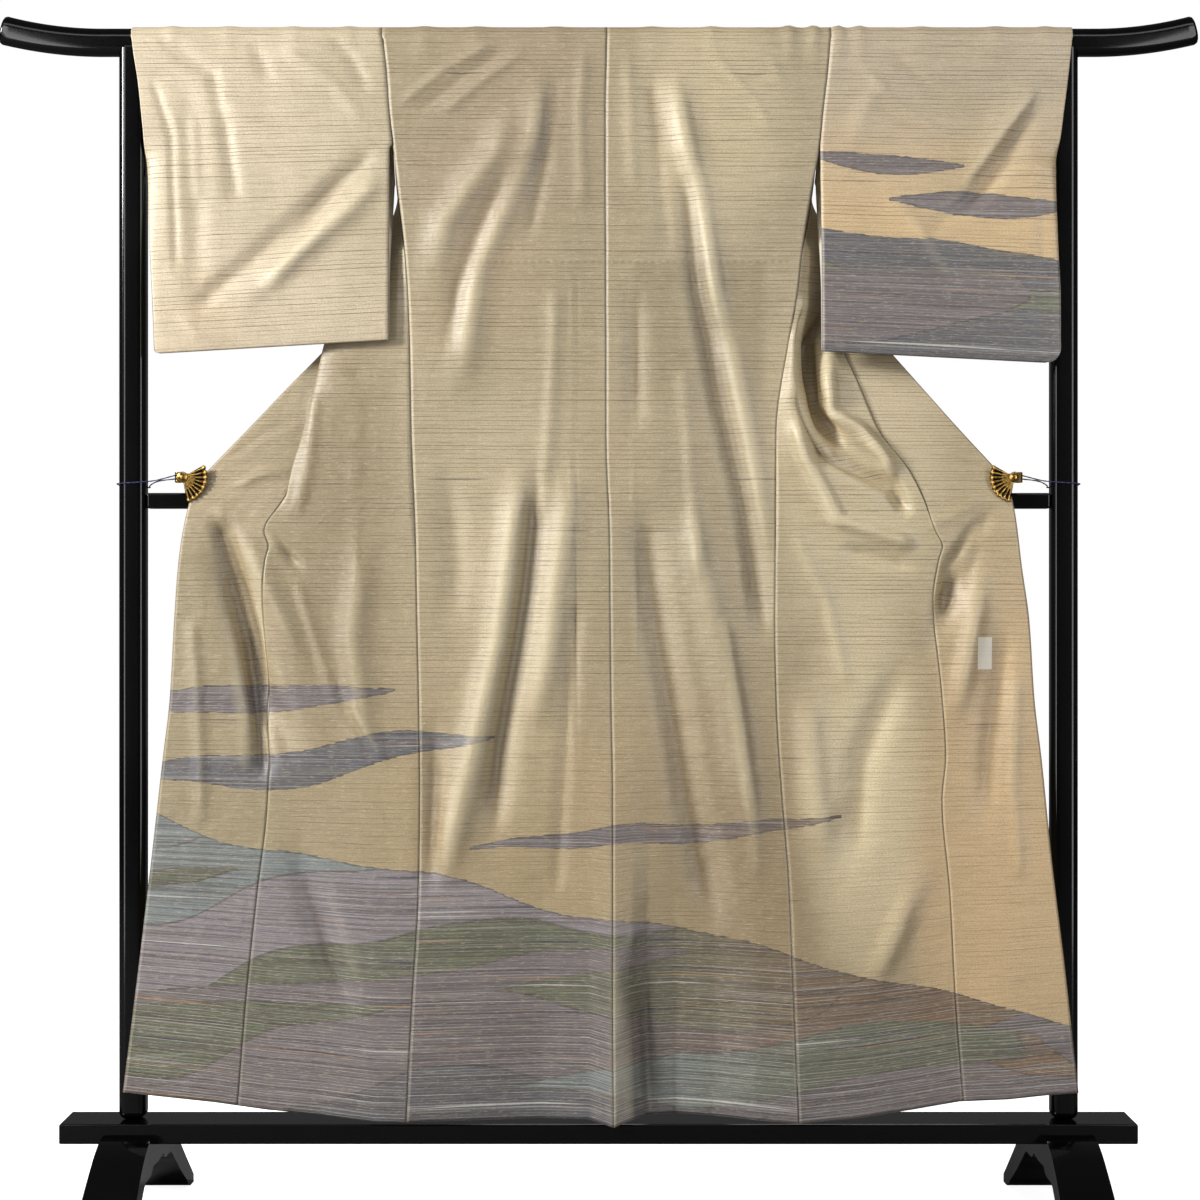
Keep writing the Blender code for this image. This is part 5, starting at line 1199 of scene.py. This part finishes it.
def add_cloth(node, grid, faces, along, probe, direction, thickness, finish):
    """A shell with the places on its cloth and the depth of its hollows as attributes; the silk paints shade into
    the hollows and highlights onto the ridges from that depth.
    """
    mesh = bpy.data.meshes.new(node + "_shell")
    face_outward(mesh, faces, grid.reshape(-1, 3), probe, direction)
    layer = mesh.attributes.new("cloth", "FLOAT_VECTOR", "POINT")
    layer.data.foreach_set("vector", along.astype(np.float32).ravel())
    outward = np.array([tuple(point.normal) for point in mesh.vertices]).reshape(grid.shape)
    layer = mesh.attributes.new("hollow", "FLOAT", "POINT")
    depth = hollows(grid, np.clip(-2 * outward[..., 1], -1, 1))
    layer.data.foreach_set("value", depth.astype(np.float32).ravel())
    obj = new_object(node + "_shell", mesh, finish, "silk", node)
    wall = obj.modifiers.new("Wall", "SOLIDIFY")
    wall.thickness, wall.offset, wall.material_offset = thickness, 0, 1
    return obj


def grid_along(grid):
    """Metres across and along the cloth, and from the nearer long edge, at each point of a grid."""
    across = np.zeros(grid.shape[:2])
    across[:, 1:] = np.cumsum(np.linalg.norm(np.diff(grid, axis=1), axis=2), axis=1)
    along = np.zeros(len(grid))
    along[1:] = np.cumsum(np.linalg.norm(np.diff(grid, axis=0), axis=2).mean(axis=1))
    edge = np.minimum(across, across[:, -1:] - across)
    return np.stack([across, np.repeat(along[:, None], grid.shape[1], axis=1), edge], axis=2)


def add_cloth_grid(node, grid, probe_row, direction, thickness, finish):
    rows, width = grid.shape[:2]
    probe = probe_row * (width - 1) + (width - 1) // 2
    return add_cloth(node, grid, quads(rows, width), grid_along(grid), probe, direction, thickness, finish)


def sleeve_creases(x, drop, mirror=1):
    """Height of a sleeve's creases, and the share of it that stays near the sewn edges."""
    calm = smooth(0, SLEEVE_CALM, np.abs(x - x[:, -1:])) * smooth(0, SLEEVE_CALM, drop.max() - drop)
    return route_sum(SLEEVE_CREASES, CREASE_TAPER, mirror * x, drop), calm


def sleeve_shell(side, finish):
    points, faces = sleeve_mesh(side)
    width = SLEEVE_COLUMNS
    grid = np.array(points).reshape(-1, width, 3)
    count, crest_end = len(SLEEVE_SHARES), len(SLEEVE_SHARES) + len(BAR_ANGLES)
    near, crest, far = grid[:count], grid[count:crest_end], grid[crest_end:]
    x, drop = near[..., 0], HANG_Z - near[..., 2]
    height, calm = sleeve_creases(x, drop)
    near[..., 1] -= (height + gathered(x, drop)) * calm
    height, calm = sleeve_creases(far[..., 0], HANG_Z - far[..., 2], -1)
    far[..., 1] += height * calm
    turn = np.radians(BAR_ANGLES)[:, None]
    lift = gathered(crest[..., 0], 0.0) * smooth(-0.6, 0.2, -np.cos(turn))
    crest[..., 1] += lift * np.cos(turn)
    crest[..., 2] += lift * np.sin(turn)
    along = grid_along(grid)
    along[..., 2] = along[..., 0]  # only the armhole edge is a seam
    probe = (count // 2) * (width - 1) + width // 2
    return add_cloth("sleeve_" + side, grid, faces, along, probe, (0, -1, 0), SHELL, finish)


def far_shoulders(far):
    """The far side's creases: the near side's own, mirrored, where the cloth is free of neck and fronts."""
    x, drop = far[..., 0], HANG_Z - far[..., 2]
    calm = smooth(*SHOULDER_FROM_NECK, np.abs(x)) * (1 - smooth(*SHOULDER_OUT, drop))
    far[..., 1] += route_sum(BACK_CREASES, CREASE_TAPER, -x, drop) * calm


def body_shell(side, finish):
    near = len(NEAR_DROPS) + len(BAR_ANGLES)
    rows = np.array(body_rows(side))
    turned = len(rows) - len(FAR_DROPS) + int(TURNED_DROP / CLOTH_STEP)
    rows[:near] = creased(rows[:near], BACK_CREASES, gathers=True)
    far_shoulders(rows[near:turned])
    rows[turned:] = creased(rows[turned:], FRONT_CREASES)
    return add_cloth_grid("body_" + side, rows, HEM_PROBE, (0, -1, 0), SHELL, finish)


def loft_mesh(name, rings):
    sides = len(rings[0])
    caps = [tuple(range(sides))[::-1], tuple((len(rings) - 1) * sides + k for k in range(sides))]
    faces = quads(len(rings), sides, round_width=True) + caps
    mesh = bpy.data.meshes.new(name)
    mesh.from_pydata([tuple(map(float, p)) for ring in rings for p in ring], [], faces)
    work = bmesh.new()
    work.from_mesh(mesh)
    bmesh.ops.recalc_face_normals(work, faces=work.faces)
    work.to_mesh(mesh)
    work.free()
    smooth_faces(mesh)
    return mesh


def add_timber(node, rings, finish, bevel=0, segments=0):
    """A piece of the stand with its edges rounded."""
    name = node + "_gloss"
    obj = new_object(name, loft_mesh(name, rings), finish, "lacquer", node)
    if bevel:
        rounding = obj.modifiers.new("Rounding", "BEVEL")
        rounding.width, rounding.segments = bevel, segments
        rounding.limit_method, rounding.angle_limit = "ANGLE", math.radians(40)
    obj.modifiers.new("Normals", "WEIGHTED_NORMAL").keep_sharp = False


def box_rings(low, high):
    (x0, y0, z0), (x1, y1, z1) = low, high
    return [[(x0, y0, z), (x1, y0, z), (x1, y1, z), (x0, y1, z)] for z in (z0, z1)]


def foot_rings(x):
    """A foot's sections, front to back: square at its middle block and curved down from there."""
    table = np.array(FOOT_STATIONS[FOOT_BLOCK:])
    ys = np.linspace(table[0, 0], table[-1, 0], FOOT_STEPS)
    columns = [monotone_cubic(table[:, 0], table[:, i], ys) for i in (1, 2, 3)]
    stations = list(FOOT_STATIONS[:FOOT_BLOCK]) + list(zip(ys, *columns))
    both = [(-y, t, u, h) for y, t, u, h in stations[:0:-1]] + stations
    return [[(x - h, y, u), (x + h, y, u), (x + h, y, t), (x - h, y, t)] for y, t, u, h in both]


def bar_rings():
    """Rounded sections along the top bar, whose ends sweep up to rounded tips."""
    straight = np.linspace(0, BAR_BEND_START, 8)
    swept = np.linspace(BAR_BEND_START, BAR_HALF_LENGTH - 0.004, 18)[1:]
    stations = [(s, 1.0) for s in np.concatenate([straight, swept])] + list(BAR_TIP)
    rings = []
    for x, shrink in [(-s, k) for s, k in stations[:0:-1]] + stations:
        bend = max(0.0, abs(x) - BAR_BEND_START) / (BAR_HALF_LENGTH - BAR_BEND_START)
        lean = math.copysign(2 * BAR_TIP_RISE * bend / (BAR_HALF_LENGTH - BAR_BEND_START), x)
        ring = []
        for k in range(BAR_SIDES):
            y, up = bar_section(360 * k / BAR_SIDES, 0.0)
            y, up = y * shrink, up * shrink
            ring.append((x - lean * up, y, BAR_Z + BAR_TIP_RISE * bend**2 + up))
        rings.append(ring)
    return rings


def circle(count):
    """Cosine and sine of even steps round a full turn."""
    return [(math.cos(2 * math.pi * k / count), math.sin(2 * math.pi * k / count)) for k in range(count)]


def add_faces(work, verts, faces):
    return [work.faces.new([verts[i] for i in face]) for face in faces]


def leaf_radius(phase, share):
    """From the hub to the scalloped lip of the rib at this phase."""
    lip = CLIP_RADIUS - LEAF_SCALLOP + LEAF_SCALLOP * math.sin(math.pi * (phase % 1))
    return CLIP_HUB + (lip - CLIP_HUB) * share


def add_leaf(work, side, leaf_y):
    """The ribbed leaf, with a raised lip and a groove inside it."""
    pivot_x, pivot_z = clip_pivot(side)
    # Where painted shade and dark reflection lie between the ribs.
    rib_shade = work.verts.layers.float.new("rib_shade")
    grid = []
    for i in range(LEAF_TURNS + 1):
        phase = i / LEAF_TURNS * LEAF_RIBS
        wave = 1 - abs(2 * (phase % 1) - 1)
        turn = leaf_turn(side, i / LEAF_TURNS)
        row = []
        for j in range(LEAF_RADII + 1):
            share = j / LEAF_RADII
            radius = leaf_radius(phase, share)
            y = leaf_y + LEAF_RIDGE * (1 - 2 * wave) * (0.3 + 0.7 * share)
            for height, middle, width in LEAF_BEADS:
                y = y - height * math.exp(-(((share - middle) / width) ** 2))
            vert = work.verts.new((pivot_x + radius * math.cos(turn), y, pivot_z + radius * math.sin(turn)))
            vert[rib_shade] = (1 - wave) * (LEAF_VALLEY[0] < share < LEAF_VALLEY[1])
            row.append(vert)
        grid.append(row)
    for i in range(LEAF_TURNS):
        for j in range(LEAF_RADII):
            work.faces.new((grid[i][j], grid[i + 1][j], grid[i + 1][j + 1], grid[i][j + 1]))
    bmesh.ops.recalc_face_normals(work, faces=work.faces)
    bmesh.ops.solidify(work, geom=list(work.faces), thickness=LEAF_THICKNESS * 0.75)


def fan_clip(side, finish):
    """The gilt fan: ribbed leaf, domed rivet, sprung barrel and the jaw behind the cloth."""
    sign = SIGN[side]
    pivot_x, pivot_z = clip_pivot(side)
    front, back = clip_faces(side)
    leaf_y, jaw_y = front - CLIP_GAP - LEAF_RIDGE - LEAF_THICKNESS / 2, back + CLIP_GAP
    work = bmesh.new()
    add_leaf(work, side, leaf_y)
    add_rivet(work, (pivot_x, leaf_y + 0.0004, pivot_z))
    for k in range(SPRING_TURNS):
        place = (pivot_x + sign * SPRING_OUT, (leaf_y + jaw_y) / 2, pivot_z - 0.0064 + SPRING_PITCH * k)
        add_ring(work, place, (jaw_y - leaf_y) / 2 + 0.0006, SPRING_PITCH / 2)
    add_jaw(work, (pivot_x, jaw_y + JAW_THICKNESS / 2, pivot_z), sign)
    mesh = bpy.data.meshes.new("clip_" + side + "_fan")
    work.to_mesh(mesh)
    work.free()
    smooth_faces(mesh)
    return new_object("clip_" + side + "_fan", mesh, finish, "brass", "clip_" + side)


def add_rivet(work, centre, sides=32):
    """A turned boss that stands out towards the viewer."""
    verts = [
        work.verts.new((centre[0] + radius * c, centre[1] - out, centre[2] + radius * s))
        for radius, out in RIVET
        for c, s in circle(sides)
    ]
    add_faces(work, verts, quads(len(RIVET), sides, round_width=True))
    work.faces.new(verts[:sides][::-1])
    work.faces.new(verts[-sides:])


def add_ring(work, centre, radius, wire, sides=20, round_sides=8):
    """One turn of the spring: a closed ring about a line along Z, flattened across."""
    verts = []
    for c, s in circle(sides):
        for out, up in circle(round_sides):
            reach = radius + wire * out
            place = (centre[0] + c * SPRING_FLAT * reach, centre[1] + s * reach, centre[2] + wire * up)
            verts.append(work.verts.new(place))
    add_faces(work, verts, quads(sides, round_sides, round_rows=True, round_width=True))


def add_jaw(work, centre, sign, steps=10):
    """The jaw: a flat tongue with a round end, behind the cloth."""
    outline = [(JAW_BACK, -JAW_HALF_WIDTH), (JAW_BACK, JAW_HALF_WIDTH)]
    for k in range(steps + 1):
        turn = math.pi / 2 + math.pi * k / steps
        x = -JAW_REACH + JAW_HALF_WIDTH + JAW_HALF_WIDTH * math.cos(turn)
        outline.append((x, JAW_HALF_WIDTH * math.sin(turn)))
    verts = [
        work.verts.new((centre[0] + sign * x, centre[1] + y, centre[2] + z))
        for y in (-JAW_THICKNESS / 2, JAW_THICKNESS / 2)
        for x, z in outline
    ]
    count = len(outline)
    faces = add_faces(work, verts, quads(2, count, round_width=True))
    faces += [work.faces.new(verts[:count][::-1]), work.faces.new(verts[count:])]
    bmesh.ops.recalc_face_normals(work, faces=faces)


def twisted_cord(side, finish):
    """The tie as a closed tube with two plies, which follows the frame's own route."""
    route = cord_route(side)
    path = np.array(curve_through(route, (8,) * (len(route) - 1)))
    along = np.concatenate([[0], np.cumsum(np.linalg.norm(np.diff(path, axis=0), axis=1))])
    tangents = np.gradient(path, axis=0)
    tangents /= np.linalg.norm(tangents, axis=1, keepdims=True)
    rings, across = [], np.array((0.0, 0.0, 1.0))
    for centre, tangent, run in zip(path, tangents, along):
        across = across - tangent * across.dot(tangent)
        across /= np.linalg.norm(across)
        other = np.cross(tangent, across)
        ring = []
        for k in range(CORD_SIDES):
            turn = 2 * math.pi * k / CORD_SIDES
            ply = math.cos(CORD_PLIES * (turn - 2 * math.pi * run / CORD_PITCH))
            radius = CORD_DIAMETER / 2 * (1 - CORD_GROOVE + CORD_GROOVE * ply)
            ring.append(centre + radius * (math.cos(turn) * across + math.sin(turn) * other))
        rings.append(ring)
    name = "cord_" + side + "_tie"
    return new_object(name, loft_mesh(name, rings), finish, "cord", "cord_" + side)


# --- floor, light and camera ----------------------------------------------------------------------------------
WORLD_STRENGTH = 0.105
LAMPS = (  # name, place, width and height, watts
    ("key", (-3.3, -1.8, 2.4), (0.6, 0.8), 200.0),
    ("left_strip", (-2.0, -2.2, 1.3), (0.45, 3.2), 12.0),
    ("right_strip", (2.2, -2.2, 1.3), (0.45, 3.2), 30.0),
    ("top_strip", (0.0, -1.9, 3.2), (4.2, 0.40), 19.0),
    ("left_glint", (-1.7, -2.3, 1.1), (0.50, 3.4), 36.0),
    ("right_glint", (1.7, -2.3, 1.1), (0.50, 3.4), 30.0),
    ("back", (0.4, 3.0, 2.8), (1.6, 1.2), 50.0),
)
CAMERA_PLACE = (0.0021, -3.13, 0.885)
LENS, SENSOR = 66.43, 36.0


def floor_and_light():
    """The pale floor, dark to every ray but the camera's, the world and the lamps; glints act on gloss only."""
    g = Graph("floor")
    seen = g.read("ShaderNodeLightPath", "Is Camera Ray")
    colour = g.mix(seen, srgb(110, 110, 110), srgb(236, 236, 236))
    g.finish(colour, 0.8, Emission_Strength=seen * 0.90, Emission_Color=(1, 1, 1, 1))
    mesh = bpy.data.meshes.new("floor")
    mesh.from_pydata([(-9, -9, 0), (9, -9, 0), (9, 9, 0), (-9, 9, 0)], [], [(0, 1, 2, 3)])
    mesh.materials.append(g.material)
    floor = bpy.data.objects.new("floor", mesh)
    bpy.context.scene.collection.objects.link(floor)
    world = bpy.data.worlds.new("studio")
    bpy.context.scene.world = world
    world.use_nodes = True
    tree = world.node_tree
    strength = tree.nodes.new("ShaderNodeMapRange")
    strength.inputs["To Min"].default_value, strength.inputs["To Max"].default_value = WORLD_STRENGTH, 1.0
    tree.links.new(tree.nodes.new("ShaderNodeLightPath").outputs["Is Camera Ray"], strength.inputs["Value"])
    tree.links.new(strength.outputs["Result"], tree.nodes["Background"].inputs["Strength"])
    tree.nodes["Background"].inputs["Color"].default_value = (1, 1, 1, 1)
    for name, place, size, power in LAMPS:
        lamp = bpy.data.lights.new(name, "AREA")
        lamp.shape = "RECTANGLE"
        lamp.size, lamp.size_y = size
        lamp.energy = power
        obj = bpy.data.objects.new(name, lamp)
        obj.location = place
        obj.visible_diffuse = not name.endswith("glint")
        aim = Vector((0, 0, place[2] if name.startswith(("left", "right")) else 0.9))
        obj.rotation_euler = (aim - Vector(place)).to_track_quat("-Z", "Y").to_euler()
        bpy.context.scene.collection.objects.link(obj)


def camera():
    made = bpy.data.cameras.new("camera")
    made.lens, made.sensor_width, made.sensor_height, made.sensor_fit = LENS, SENSOR, SENSOR, "HORIZONTAL"
    obj = bpy.data.objects.new("camera", made)
    obj.location = CAMERA_PLACE
    obj.rotation_euler = (math.pi / 2, 0, 0)
    bpy.context.scene.collection.objects.link(obj)
    bpy.context.scene.camera = obj
    bpy.context.scene.view_settings.view_transform = "Standard"


def add_kimono():
    lining = silk_lining()
    silk = (silk_outside("silk", BODY_MIST, (180, 165, 135), (174, 154, 118)), lining)
    left = silk_outside("silk_left_sleeve", None, (206, 190, 162), (204, 189, 161))
    right = silk_outside("silk_right_sleeve", SLEEVE_MIST, (192, 176, 150), (214, 184, 140), (1.62, 1.40))
    for side, sleeve in (("left", left), ("right", right)):
        piece = body_shell(side, silk)
        rows = creased(np.array(okumi_rows(side)), FRONT_CREASES)
        piece = add_cloth_grid("okumi_" + side, rows, len(rows) - HEM_PROBE, (0, -1, 0), SHELL, silk)
        piece = sleeve_shell(side, (sleeve, lining))
    band, folded_band = collar_rows(), (silk[0], silk[0])
    piece = add_cloth_grid("collar", band, COLLAR_PROBE, (0, 1, 0), COLLAR_SHELL, folded_band)
    rows = over_collar_rows(band)
    piece = add_cloth_grid("over_collar", rows, OVER_COLLAR_PROBE, (0, 1, 0), SHELL, folded_band)


def add_stand():
    lacquered, gold, tie = lacquer(), gilt(), cord_finish()
    add_timber("top_bar", bar_rings(), lacquered)
    long, deep = BEAM_HALF_LENGTH, BEAM_HALF_DEPTH
    rings = box_rings((-long, -deep, BEAM_TOP_Z - BEAM_THICKNESS), (long, deep, BEAM_TOP_Z))
    add_timber("base_beam", rings, lacquered, *BEAM_ROUND)
    long, half = POST_X - POST_HALF_WIDTH - FOOT_GAP, MID_BAR_HALF
    rings = box_rings((-long, -half, MID_BAR_Z - half), (long, half, MID_BAR_Z + half))
    add_timber("mid_bar", rings, lacquered, *MID_BAR_ROUND)
    for side, sign in SIGN.items():
        x = sign * POST_X
        low = (x - POST_HALF_WIDTH, -POST_HALF_DEPTH, BEAM_TOP_Z + FOOT_GAP)
        high = (x + POST_HALF_WIDTH, POST_HALF_DEPTH, BAR_Z)
        add_timber("post_" + side, box_rings(low, high), lacquered, *POST_ROUND)
        add_timber("foot_" + side, foot_rings(x), lacquered, *FOOT_ROUND)
        fan_clip(side, gold)
        twisted_cord(side, tie)


def main():
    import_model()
    camera()
    add_kimono()
    add_stand()
    floor_and_light()


main()
